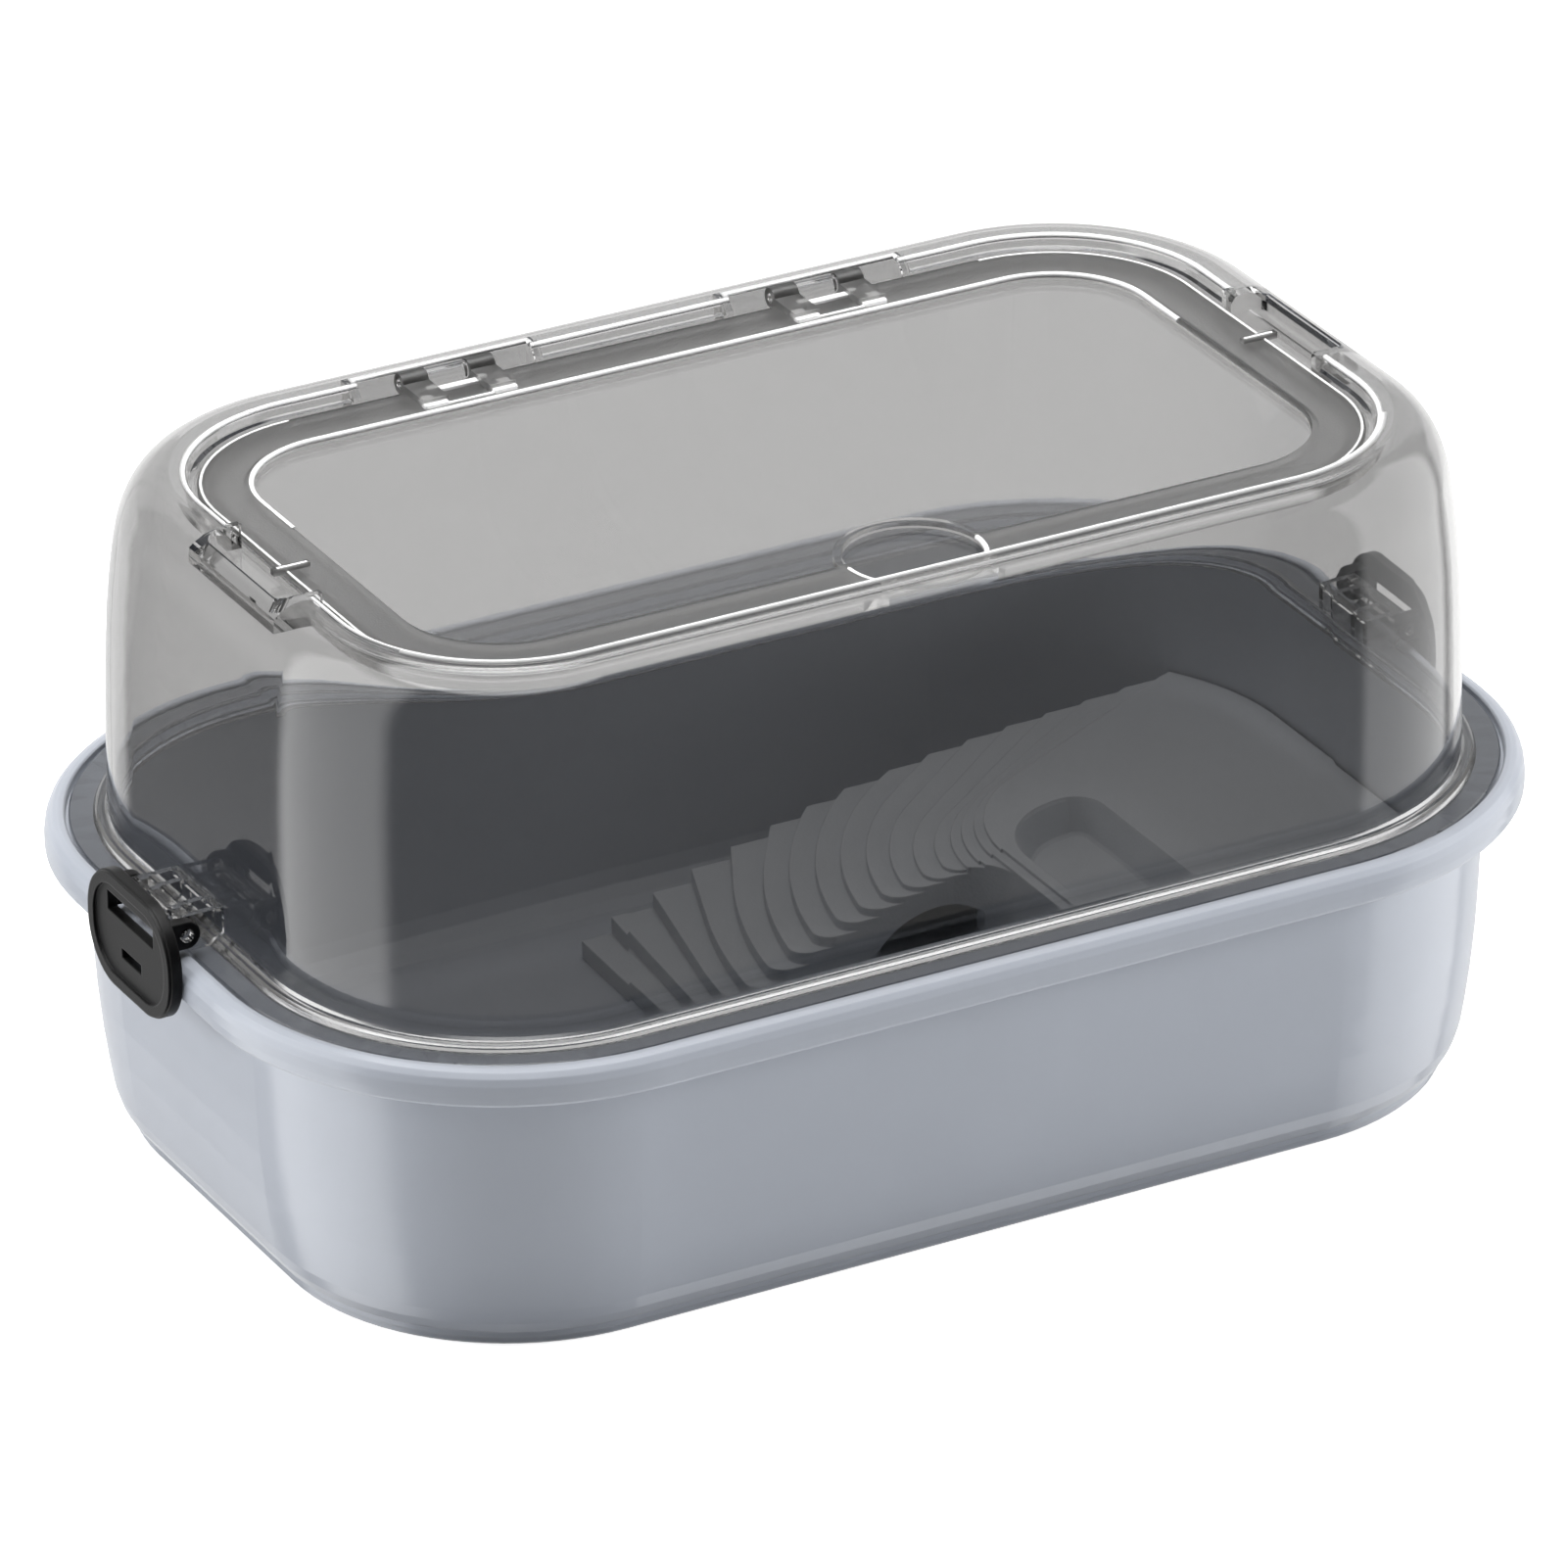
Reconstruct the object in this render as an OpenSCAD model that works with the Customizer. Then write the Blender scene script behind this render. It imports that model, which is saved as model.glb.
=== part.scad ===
// Turtle tank: pale basin, smoky clear domed cover, top hatch on two rod hinges,
// two swinging end latches and a stepped climbing insert with a deck and food bowl.
// Millimetres, +Z up, origin at the middle of the underside. Length runs along X,
// the hinges are on the +Y side and the finger dish of the hatch on the -Y side.

/* [Plan outline] */
// half length of the straight-sided core that every rounded outline is swept round
core_x = 104.5; // [90:0.5:130]
// half width of the same core
core_y = 40.5; // [34:0.5:60]

/* [Basin] */
// height of the rim crest above the table
basin_h = 90; // [84:1:120]
// radius of the outermost point of the rim, measured from the core corners
rim_r = 85.9; // [82:0.1:92]
// width of the flat crest of the rim
rim_w = 5.7; // [4.5:0.1:7]
// how far the rim stands out over the wall below it
rim_over = 10.9; // [9:0.1:12]
// how far the wall draws in from the rim to the foot
wall_draft = 11; // [8:0.5:14]
// wall thickness of the basin
wall_t = 2.6; // [2:0.1:4]
// height of the floor surface inside the basin
floor_z = 4; // [3.5:0.1:6]
// depth of the rolled lip below the crest
lip_drop = 9.6; // [8:0.1:11]
// depth of the seat of the cover below the crest
seat_drop = 2.7; // [2:0.1:3.5]

/* [Cover] */
// height of the crown of the cover above the rim crest
dome_h = 98.2; // [80:0.5:130]
// width of the flat flange and its bead, from the rim to the cover wall
flange_w = 11.3; // [10:0.1:13]
// how far the cover wall leans in from the flange to the shoulder
wall_lean = 3.8; // [2:0.1:6]
// height of the rounded shoulder
shoulder_h = 20.7; // [16:0.1:26]
// thickness of the clear moulding
cover_t = 2.2; // [1.8:0.1:3]
// gap between the flange and the rim round it
flange_gap = 1; // [0.5:0.1:1.5]
// thickness of the flange
flange_t = 2.1; // [1.6:0.1:2.5]
// width of the shoulder and the crown, from the cover wall to the hatch opening
crown_w = 25.8; // [22:0.1:30]
// width of the ledge that the hatch lies on
ledge_w = 5.9; // [4:0.1:8]

/* [Hatch] */
// gap all round between the hatch and its opening
hatch_gap = 0.8; // [0.5:0.1:1.5]
// thickness of the hatch moulding
hatch_t = 2.3; // [1.8:0.1:3]
// depth of the hatch face below the crown
hatch_drop = 4.2; // [3.5:0.1:5]
// width of the frosted border
border_w = 14.5; // [10:0.5:20]
// depth of the clear panel below the border
panel_drop = 2; // [1:0.1:3]
// radius of the finger dish
dish_r = 18.8; // [14:0.2:22]

/* [Hinges] */
// distance of each hinge from the middle
hinge_x = 56; // [40:1:70]
// length of each hinge rod
rod_len = 27.5; // [22:0.5:34]
// radius of the hinge rods
rod_r = 1.4; // [1.2:0.1:2]
// wall of the hatch knuckles round the rod
knuckle_t = 1.45; // [1.2:0.05:2]
// width of each hatch knuckle
knuckle_w = 7.6; // [5:0.1:9]
// half length of the bay cut in the crown round each hinge
bay_half = 26; // [20:1:30]
// depth of the bays behind the opening edge
bay_d = 5.5; // [5:0.1:7]

/* [End pockets] */
// half width of the finger pocket at each end
pocket_half = 22.5; // [16:0.5:28]
// length of the pocket beyond the opening edge
pocket_d = 11; // [8:0.5:13]
// corner radius of the pocket
pocket_corner = 4; // [2:0.5:8]
// length of the snap rib on the hatch
rib_len = 10.5; // [8:0.5:14]

/* [Latches] */
// width of the latch plate
latch_w = 49; // [42:1:60]
// height of the latch plate
latch_h = 33; // [30:1:38]
// corner radius of the latch plate
latch_corner = 15.5; // [8:0.5:16]
// thickness of the latch plate without its raised border
latch_t = 2.9; // [2.4:0.1:4]
// height of the pivot above the rim crest
pivot_up = 6; // [5.5:0.1:8]
// distance of the pivot inside the outermost point of the rim
pivot_in = 4.6; // [4:0.1:6]
// radius of the pivot rod on the cover
pivot_r = 1.9; // [1.5:0.1:2.4]
// radius of the black barrels of the latch
barrel_r = 3.8; // [3.2:0.1:4.2]
// half width of the bracket on the cover
bracket_half = 13.8; // [11:0.2:16]

/* [Insert] */
// number of climbing steps below the deck
steps = 16; // [10:1:18]
// height of the deck above the floor of the basin
deck_h = 43; // [30:1:50]
// distance of the back wall of the insert from the middle
insert_back = 80; // [65:1:85]
// face of the stair towards the water
stair_y = 8; // [-5:0.5:20]
// left side of the deck
deck_x = 66.4; // [55:0.2:80]
// left end of the lowest step
first_x = -22.3; // [-40:0.1:0]
// how far each next step moves to the right at the back wall
fan_step = 12.4; // [8:0.1:13]
// radius of the round corner of the steps towards the water
step_corner = 5; // [2:0.5:8]
// radius of the hollow bend where the stair meets the side of the deck
side_bend = 12; // [6:0.5:20]
// gap between the insert and the wall of the basin
insert_gap = 1; // [0.5:0.1:2]
// wall thickness of the insert
insert_t = 2.6; // [2:0.1:3.5]
// width of the border between the side of the deck and the food bowl
bowl_border = 7; // [5:0.5:12]
// radius of the round ends of the food bowl
bowl_r = 26; // [18:1:30]
// width of the food bowl
bowl_w = 33; // [24:1:40]
// distance between the centres of its round ends
bowl_run = 34; // [10:1:50]
// depth of the food bowl
bowl_d = 9.5; // [6:0.5:14]
// radius of the tunnel arch
tunnel_r = 24; // [16:0.5:26]

/* [Hidden] */
$fn = 96;
// running clearance of a bore round its rod
run = 0.06;
// gap kept between separate pieces that move past each other
gap = 0.3;
// overlap of arcs that run into each other, so that they cross and don't only touch
sink = 0.02;
basin_c = [0.66, 0.68, 0.71];
clear_c = [0.45, 0.46, 0.48, 0.5];
latch_c = [0.07, 0.07, 0.07];
insert_c = [0.52, 0.54, 0.56];

rim_in_r = rim_r - rim_w;
wall_r = rim_r - rim_over;
foot_r = wall_r - wall_draft;
cover_r = rim_in_r - flange_w;
edge_r = cover_r - crown_w;
seat_z = basin_h - seat_drop;
under_z = basin_h - lip_drop;
crown_z = basin_h + dome_h;
hatch_z = crown_z - hatch_drop;
ledge_z = hatch_z - hatch_t - gap;
hatch_r = edge_r - hatch_gap;
ledge_r = edge_r - ledge_w;
panel_r = hatch_r - border_w;
flange_r = rim_in_r - flange_gap;
pivot_x = core_x + rim_r - pivot_in;
pivot_z = basin_h + pivot_up;
plate_x = core_x + rim_r + 0.4;
deck_z = floor_z + deck_h;
border_in = 3;
hinge_y = core_y + edge_r + bay_d - rod_r - knuckle_t - run - 0.5;
hinge_z = hatch_z + 1.2;

function lerp(a, b, t) = a + (b - a) * t;
function rev(p) = [for (i = [len(p) - 1 : -1 : 0]) p[i]];
// points moved square to their path by t, to the inner side of a path that climbs the outside
function inset(p, t) = [for (i = [0 : len(p) - 1])
    let (a = p[max(i - 1, 0)], b = p[min(i + 1, len(p) - 1)], d = b - a)
    p[i] - t * [d[1], -d[0]] / norm(d)];

// Outer wall of the basin from the foot to the rim, as height and radius
wall_table = [for (q = [[0.03, 0.10], [0.065, 0.264], [0.1025, 0.427], [0.15, 0.536], [0.2375, 0.636],
    [0.35, 0.745], [0.5, 0.845], [0.65, 0.909], [0.825, 0.964], [1, 1], [1.2, 1]])
    [under_z * q[0], lerp(foot_r, wall_r, q[1])]];
function out_r(z) = lookup(z, wall_table);
function in_r(z) = out_r(z) - wall_t;

// A profile of radius and height swept round the core: four straight runs and four corners
module swept(p, cx = core_x, cy = core_y) {
    for (s = [0, 180]) rotate([0, 0, s]) {
        translate([cx, 0, 0]) rotate([90, 0, 0])
            linear_extrude(height = 2 * cy, center = true) polygon(p);
        translate([0, cy, 0]) rotate([90, 0, 90])
            linear_extrude(height = 2 * cx, center = true) polygon(p);
        translate([cx, cy, 0]) rotate_extrude(angle = 90) polygon(p);
        translate([-cx, cy, 0]) rotate([0, 0, 90]) rotate_extrude(angle = 90) polygon(p);
    }
}

// The same with the core filled in between two heights
module filled(p, z0, z1, cx = core_x, cy = core_y) {
    swept(concat([[0, z0]], p, [[0, z1]]), cx, cy);
    translate([-cx, -cy, z0]) cube([2 * cx, 2 * cy, z1 - z0]);
}

// A flat rounded outline of half sizes a and b with corner radius r
module rounded(a, b, r) {
    square([2 * a, 2 * (b - r)], center = true);
    square([2 * (a - r), 2 * b], center = true);
    for (x = [-1, 1]) for (y = [-1, 1]) translate([x * (a - r), y * (b - r)]) circle(r = r);
}

// Both ends of the tank
module both_ends() {
    children();
    mirror([1, 0, 0]) children();
}

module basin() {
    wall_out = [for (z = [5.2, 8.2, 12, 19, 28, 40, 52, 66, under_z]) [out_r(z), z]];
    wall_in = [for (z = [seat_z, under_z, 66, 52, 40, 28, 19, 13]) [in_r(z), z]];
    rim_out = [[wall_r, seat_z - wall_t - 1.4], [wall_r + 1.4, seat_z - wall_t],
        [rim_r - 2.3, seat_z - wall_t + 0.4], [rim_r - 2.3, under_z + 0.5], [rim_r - 1.8, under_z],
        [rim_r - 0.6, under_z], [rim_r - 0.1, under_z + 0.7], [rim_r, under_z + 3],
        [rim_r - 0.3, basin_h - 3.9], [rim_r - 1, basin_h - 2], [rim_r - 2.3, basin_h - 0.6],
        [rim_r - 3.9, basin_h], [rim_in_r + 0.5, basin_h], [rim_in_r, basin_h - 0.5],
        [rim_in_r, seat_z]];
    foot = [[foot_r - 3, 0], [foot_r, 0], [foot_r + 0.7, 0.7], [foot_r + 0.7, 2.1],
        [foot_r + 1.6, 2.5], [foot_r + 1.6, 4.2]];
    low_in = [[in_r(9) - 0.6, 9], [in_r(9) - 3.4, 6], [in_r(9) - 7, floor_z + 0.4],
        [foot_r - 8, floor_z]];
    color(basin_c) {
        swept(concat(foot, wall_out, rim_out, wall_in, low_in,
            [[foot_r - 8, floor_z - 2.5], [foot_r - 3, floor_z - 2.5]]));
        translate([0, 0, floor_z - 2.5])
            linear_extrude(height = 2.5)
                rounded(core_x + foot_r - 8, core_y + foot_r - 8, foot_r - 8);
    }
}

// Cover: wall, shoulder and crown as one path, then the inner side of the same path
cover_wall = [for (q = [[0, 0], [0.11, 0.026], [0.27, 0.079], [0.44, 0.158], [0.61, 0.289],
    [0.77, 0.474], [0.9, 0.737], [1, 1]])
    [cover_r - wall_lean * q[1], lerp(basin_h + 2, crown_z - shoulder_h, q[0])]];
shoulder = [for (q = [[0.058, 0.29], [0.101, 0.425], [0.155, 0.551], [0.213, 0.657], [0.28, 0.754],
    [0.362, 0.841], [0.464, 0.913], [0.58, 0.971], [0.705, 1]])
    [cover_r - wall_lean - shoulder_h * q[0], crown_z - shoulder_h * (1 - q[1])]];
crown_in = [[edge_r + 4.7, crown_z], [edge_r + 3.4, crown_z - 0.3], [edge_r + 2.3, crown_z - 1.1],
    [edge_r + 1.6, crown_z - 2.3], [edge_r + 1.2, crown_z - 3.4], [edge_r, crown_z - 4],
    [edge_r, ledge_z]];
cover_out = concat(cover_wall, shoulder, crown_in);

module cover_shell() {
    base_z = seat_z + flange_t;
    lip = [[flange_r, seat_z], [flange_r, base_z - 0.4], [flange_r - 0.4, base_z],
        [cover_r + 3.8, base_z], [cover_r + 3.2, base_z + 1], [cover_r + 2.4, base_z + 1.5],
        [cover_r + 1.5, base_z + 1.6], [cover_r + 0.7, base_z + 1.9]];
    skirt_r = in_r(seat_z) - 0.6;
    inner = rev(inset(concat(cover_wall, shoulder), cover_t));
    swept(concat(lip, cover_out,
        [[ledge_r, ledge_z], [ledge_r, ledge_z - cover_t], [edge_r + cover_t, ledge_z - cover_t],
        [edge_r + cover_t, crown_z - 5], [edge_r + cover_t + 1.4, crown_z - 2.8]],
        inner,
        [[cover_r - cover_t, seat_z - 1], [cover_r - cover_t + 0.6, seat_z],
        [skirt_r - 1.8, seat_z], [skirt_r - 1.8, seat_z - 3.2], [skirt_r, seat_z - 3.2],
        [skirt_r, seat_z]]));
}

// The outside of the shoulder between two radii, filled down to a height
module shoulder_face(r0, r1, z0) {
    intersection() {
        polygon(concat([[0, z0]], [[cover_r, z0]], cover_wall, shoulder,
            [[edge_r + 4.7, crown_z], [edge_r, crown_z], [0, crown_z]]));
        translate([r0, z0]) square([r1 - r0, crown_z - z0 + 1]);
    }
}

// Latch bracket on the cover: four cheeks, a top web and the pivot rod
module bracket() {
    root_x = core_x + cover_r - 1.2;
    top_z = pivot_z + 3.5;
    for (y = [-bracket_half + 1, -bracket_half * 0.45, bracket_half * 0.45, bracket_half - 1])
        translate([0, y, 0]) rotate([90, 0, 0]) linear_extrude(height = 2, center = true) {
            polygon([[root_x, seat_z + flange_t - 0.6], [core_x + flange_r - 1.5, seat_z + flange_t - 0.6],
                [core_x + flange_r + 0.6, basin_h + 1.2], [pivot_x + 0.5, pivot_z - 2.7],
                [pivot_x + 0.5, top_z], [root_x, top_z]]);
            translate([pivot_x, pivot_z]) circle(r = 2.8);
        }
    translate([pivot_x - 3.2, -bracket_half, pivot_z + 2]) cube([3.7, 2 * bracket_half, 1.5]);
    translate([root_x, -bracket_half, pivot_z + 2]) cube([3.2, 2 * bracket_half, 1.5]);
    translate([pivot_x, 0, pivot_z]) rotate([90, 0, 0])
        cylinder(r = pivot_r, h = 2 * bracket_half + 8, center = true);
}

module cover() {
    floor_p = ledge_z - cover_t;
    pocket_r = edge_r + pocket_d;
    bay_r = edge_r + bay_d;
    color(clear_c) {
        difference() {
            union() {
                cover_shell();
                both_ends() translate([core_x, 0, 0]) rotate([90, 0, 0])
                    linear_extrude(height = 2 * (pocket_half + cover_t), center = true)
                        shoulder_face(edge_r, pocket_r + cover_t, floor_p);
                for (s = [-1, 1]) translate([s * hinge_x, core_y, 0]) rotate([90, 0, 90])
                    linear_extrude(height = 2 * (bay_half + cover_t), center = true)
                        shoulder_face(edge_r, bay_r + cover_t, floor_p);
            }
            both_ends() translate([core_x + edge_r - 3, 0, ledge_z])
                linear_extrude(height = dome_h) {
                    far = pocket_d + 3 - pocket_corner;
                    side = pocket_half - pocket_corner;
                    translate([0, -pocket_half]) square([far, 2 * pocket_half]);
                    translate([0, -side]) square([pocket_d + 3, 2 * side]);
                    for (y = [-1, 1]) translate([far, y * side]) circle(r = pocket_corner);
                }
            for (s = [-1, 1]) translate([s * hinge_x - bay_half, core_y + edge_r - 3, ledge_z])
                cube([2 * bay_half, bay_d + 3, dome_h]);
            // top corners of the bay walls taken off, just above the rounded edge of the opening
            for (s = [-1, 1]) translate([s * hinge_x, core_y + edge_r, crown_z]) rotate([90, 0, 90])
                linear_extrude(height = 2 * (bay_half + cover_t + 1), center = true)
                    polygon([[-1, 1], [-1, -4.2], [4.2, 1]]);
            // scoop in the ledge under the finger dish
            translate([0, -core_y - panel_r - 2.2, ledge_z - cover_t - 1])
                cylinder(r = dish_r + cover_t + 1.2, h = cover_t + 2);
        }
        both_ends() bracket();
        for (s = [-1, 1]) translate([s * hinge_x, 0, 0]) hinge_tongue();
    }
}

// Tongue in a bay that carries the hinge rod
module hinge_tongue() {
    w = rod_len - 2 * knuckle_w - 2 * gap;
    translate([0, hinge_y, hinge_z]) rotate([90, 0, 90]) {
        cylinder(r = rod_r, h = rod_len, center = true);
        linear_extrude(height = w, center = true) {
            circle(r = rod_r + 1.1);
            translate([0, ledge_z - hinge_z - 0.5])
                square([core_y + edge_r + bay_d + 0.8 - hinge_y, hinge_z - ledge_z + 1.2]);
        }
    }
}

module hatch() {
    plate_z = hatch_z - hatch_t;
    dish_y = -core_y - panel_r - 2.2;
    front_y = -core_y - hatch_r;
    color(clear_c) {
        difference() {
            union() {
                filled([[panel_r + 2, hatch_z - panel_drop - hatch_t],
                    [panel_r + 2.3, plate_z], [hatch_r, plate_z], [hatch_r, hatch_z - 0.5],
                    [hatch_r - 0.5, hatch_z], [panel_r + 0.5, hatch_z],
                    [panel_r, hatch_z - panel_drop]],
                    hatch_z - panel_drop - hatch_t, hatch_z - panel_drop);
                intersection() {
                    translate([0, dish_y, hatch_z - panel_drop - hatch_t])
                        cylinder(r = dish_r + cover_t, h = panel_drop + hatch_t);
                    translate([-2 * dish_r, front_y, 0]) cube([4 * dish_r, 2 * dish_r, hatch_z]);
                }
            }
            intersection() {
                translate([0, dish_y, hatch_z - panel_drop]) cylinder(r = dish_r, h = 2 * panel_drop);
                translate([-2 * dish_r, front_y + cover_t, 0]) cube([4 * dish_r, 2 * dish_r, crown_z]);
            }
            for (s = [-1, 1]) translate([s * hinge_x, 0, 0]) tongue_room();
        }
        both_ends() translate([core_x + hatch_r + 3 - rib_len, -1, hatch_z - 0.6])
            cube([rib_len, 2, 1.8]);
        for (s = [-1, 1]) translate([s * hinge_x, 0, 0]) hinge_arms();
    }
}

// Room in the back edge of the hatch for the tongue of the cover
module tongue_room() {
    w = rod_len - 2 * knuckle_w + 2 * gap;
    translate([-w / 2, core_y + hatch_r - 2.4, 0]) cube([w, 10, crown_z]);
}

// The two arms of a hinge, each with a bored knuckle round the rod
module hinge_arms() {
    r = rod_r + run + knuckle_t;
    for (s = [-1, 1]) translate([s * (rod_len - knuckle_w) / 2, 0, 0])
        translate([0, hinge_y, hinge_z]) rotate([90, 0, 90]) difference() {
            linear_extrude(height = knuckle_w, center = true) {
                circle(r = r);
                translate([-hinge_y + core_y + panel_r + 3, hatch_z - 0.6 - hinge_z])
                    square([hinge_y - core_y - panel_r - 3, 2.6]);
                translate([core_y + hatch_r - 3 - hinge_y, hatch_z - hatch_t - hinge_z])
                    square([hinge_y - core_y - hatch_r + 3, hatch_t + 0.6]);
            }
            cylinder(r = rod_r + run, h = knuckle_w + 2, center = true);
        }
}

// Latch: bordered plate, two barrels round the pivot rod and a hook under the rim
module latch() {
    low_z = pivot_z + 8.5 - latch_h / 2;
    barrel_y = bracket_half + gap + 1.7;
    hook_z = under_z - 0.8;
    translate([plate_x, 0, low_z]) rotate([90, 0, 90]) difference() {
        union() {
            linear_extrude(height = latch_t) rounded(latch_w / 2, latch_h / 2, latch_corner);
            linear_extrude(height = latch_t + 0.9) difference() {
                rounded(latch_w / 2 - 0.5, latch_h / 2 - 0.5, latch_corner - 0.5);
                rounded(latch_w / 2 - 3.6, latch_h / 2 - 3.6, latch_corner - 3.6);
            }
        }
        translate([0, pivot_z - low_z - 1, -1]) linear_extrude(height = 10)
            square([2 * bracket_half - 0.6, 5.6], center = true);
        translate([0, pivot_z - low_z - 13.3, -1]) linear_extrude(height = 10)
            square([11.5, 2.8], center = true);
    }
    difference() {
        for (s = [-1, 1]) translate([0, s * barrel_y, 0]) rotate([90, 0, 0])
            linear_extrude(height = 3.4, center = true) {
                translate([pivot_x, pivot_z]) circle(r = barrel_r);
                translate([pivot_x, pivot_z - barrel_r]) square([plate_x - pivot_x + 0.5, 2 * barrel_r]);
            }
        translate([pivot_x, 0, pivot_z]) rotate([90, 0, 0])
            cylinder(r = pivot_r + run, h = 60, center = true);
    }
    translate([core_x + rim_r - 3.6, -latch_w / 2 + 12, hook_z - 3.4])
        cube([4.6, latch_w - 24, 3.4]);
}

module latch_right() {
    color(latch_c) latch();
}

module latch_left() {
    color(latch_c) mirror([1, 0, 0]) latch();
}

// Rise of each step as a share: tall at the water, low near the deck
function rise(i) = max(1 - 0.072 * (i - 1), 0.18);
function climb(i) = i == 0 ? 0 : climb(i - 1) + rise(i);
function step_z(i) = floor_z + deck_h * climb(i) / climb(steps + 1);
// Left end of step i at the water side and at the back wall, its lean and its bend
function step_front(i) = lerp(first_x, deck_x, lookup((i - 1) / (steps - 1),
    [[0, 0], [0.2, 0.175], [0.333, 0.326], [0.467, 0.49], [0.6, 0.648], [0.733, 0.792],
    [0.8, 0.861], [0.867, 0.918], [0.933, 0.956], [1, 1]]));
function step_back(i) = first_x + 1.7 + fan_step * (i - 1) - 4.3 * (1 - pow(0.35, i - 1));
function lean(i) = min(1 + 2 * (i - 1), 11);
function bend_r(i) = max(240 - 15.7 * i, 42);
// Start of the bend, its centre, the whole turn and its end, from the start point and the end point
function bend_start(i, dx) = [step_front(i) + dx + step_corner * (1 - cos(lean(i))),
    stair_y - sink + step_corner * (1 + sin(lean(i)))];
function bend_mid(i, dx) = bend_start(i, dx) + bend_r(i) * [cos(lean(i)), -sin(lean(i))];
function bend_turn(i, dx) =
    let (d = [step_back(i) + dx, insert_back] - bend_start(i, dx), l = lean(i),
        q = [d[0] * cos(l) - d[1] * sin(l) - bend_r(i), d[0] * sin(l) + d[1] * cos(l)])
    l + atan2(q[0], q[1]) + asin(min(bend_r(i) / norm(q), 1));
function bend_end(i, dx) = bend_mid(i, dx)
    + (bend_r(i) - 2 * sink) * [-cos(bend_turn(i, dx)), sin(bend_turn(i, dx))];

// Plan of all that lies to the right of the edge of step i, moved to the right by dx
module step_plan(i, dx = 0, round_edge = true) {
    p0 = bend_start(i, dx);
    p1 = bend_end(i, dx);
    turn = bend_turn(i, dx);
    along = [sin(turn), cos(turn)];
    far = p1 + along * (insert_back + 8 - p1[1]) / along[1];
    chord = (p1 - p0) / norm(p1 - p0);
    n = [-chord[1], chord[0]];
    half = (turn - lean(i)) / 2;
    front = -core_y - wall_r;
    reach = core_x + wall_r + 20;
    sharp = i > steps - 3;
    c = step_front(i) + dx + (sharp ? 0 : step_corner);
    corner_y = stair_y - sink + step_corner;
    mid = bend_mid(i, dx) + bend_r(i) * [-cos(lean(i) + half), sin(lean(i) + half)];
    polygon(concat([[c, front], [c, corner_y], p0 + [0.3, 0]], round_edge ? [] : [mid],
        [p1, far, [reach, far[1]], [reach, front]]));
    if (round_edge) {
        if (!sharp) translate([c, corner_y]) circle(r = step_corner);
        q0 = sharp ? p0 - 20 * chord : p0;
        q1 = p1 + 5 * along;
        intersection() {
            translate(bend_mid(i, dx)) circle(r = bend_r(i) - sink, $fn = 240);
            polygon([q0 - 3 * n, q1 - 3 * n, q1 + 12 * n, q0 + 12 * n]);
        }
    }
}

// Open water in front of the stair and to the left of the deck, as a plan
module water_plan(g) {
    x = deck_x + g - side_bend;
    y = stair_y + g - side_bend;
    translate([-200, -200]) square([200 + x, 200 + stair_y + g]);
    translate([x - 1, -200]) square([side_bend + 1, 200 + y]);
    translate([x, y]) circle(r = side_bend);
}

// The steps and the deck as solid slabs, stacked from the floor
module insert_blank() {
    difference() {
        translate([0, 0, floor_z]) {
            for (i = [1 : steps]) linear_extrude(height = step_z(i) - floor_z) step_plan(i);
            linear_extrude(height = deck_h) step_plan(steps, border_in);
        }
        translate([0, 0, -1]) linear_extrude(height = basin_h) water_plan(0);
    }
}

// The same slabs moved inwards by the wall thickness
module insert_hollow() {
    t = insert_t;
    intersection() {
        difference() {
            translate([0, 0, floor_z - 1]) {
                for (i = [3 : steps]) linear_extrude(height = step_z(i) - floor_z - t + 1)
                    step_plan(i, t + 0.8, false);
            }
            translate([0, 0, -1]) linear_extrude(height = basin_h) water_plan(t);
        }
        translate([-core_x, -core_y - wall_r, 0])
            cube([2 * core_x + wall_r, core_y + wall_r + insert_back - t, basin_h]);
        filled([[foot_r - 8.6 - t, 0], [foot_r - 8.6 - t, floor_z + 1.4], [in_r(9) - 4 - t, 7.6],
            [in_r(13) - 2 - t, 12], [in_r(19) - insert_gap - t, 19], [in_r(28) - insert_gap - t, 28],
            [in_r(40) - insert_gap - t, 40]], 0, deck_z - t);
    }
}

module climbing_insert() {
    bowl_x = deck_x + bowl_border + bowl_r;
    arch_z = deck_z - 13 - tunnel_r;
    arch_x = deck_x - 16.4;
    color(insert_c) difference() {
        intersection() {
            insert_blank();
            filled([[foot_r - 8.6, floor_z], [in_r(9) - 7.4, floor_z + 1.4], [in_r(9) - 4, 6.9],
                [in_r(9) - 1.5, 9.6], [in_r(13) - insert_gap, 13.2], [in_r(19) - insert_gap, 19],
                [in_r(28) - insert_gap, 28], [in_r(40) - insert_gap, 40],
                [in_r(deck_z) - insert_gap, deck_z]], floor_z, deck_z);
            translate([-2 * core_x, -2 * core_x, 0]) cube([4 * core_x, 2 * core_x + insert_back, basin_h]);
        }
        difference() {
            insert_hollow();
            // material kept round the food bowl
            translate([bowl_x, -bowl_run / 2, 0]) bowl_shape(insert_t, deck_z - bowl_d - insert_t);
        }
        translate([bowl_x, -bowl_run / 2, 0]) bowl_shape(0, deck_z - bowl_d);
        intersection() {
            translate([arch_x, stair_y - 14, 0]) rotate([-90, 0, 0]) {
                translate([0, -arch_z, 0]) cylinder(r = tunnel_r, h = 20);
                translate([-tunnel_r, -arch_z, 0]) cube([2 * tunnel_r, arch_z, 20]);
            }
            translate([first_x, stair_y - 13, 0]) cube([deck_x - 4 - first_x, 18, deck_z]);
        }
    }
}

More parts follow.
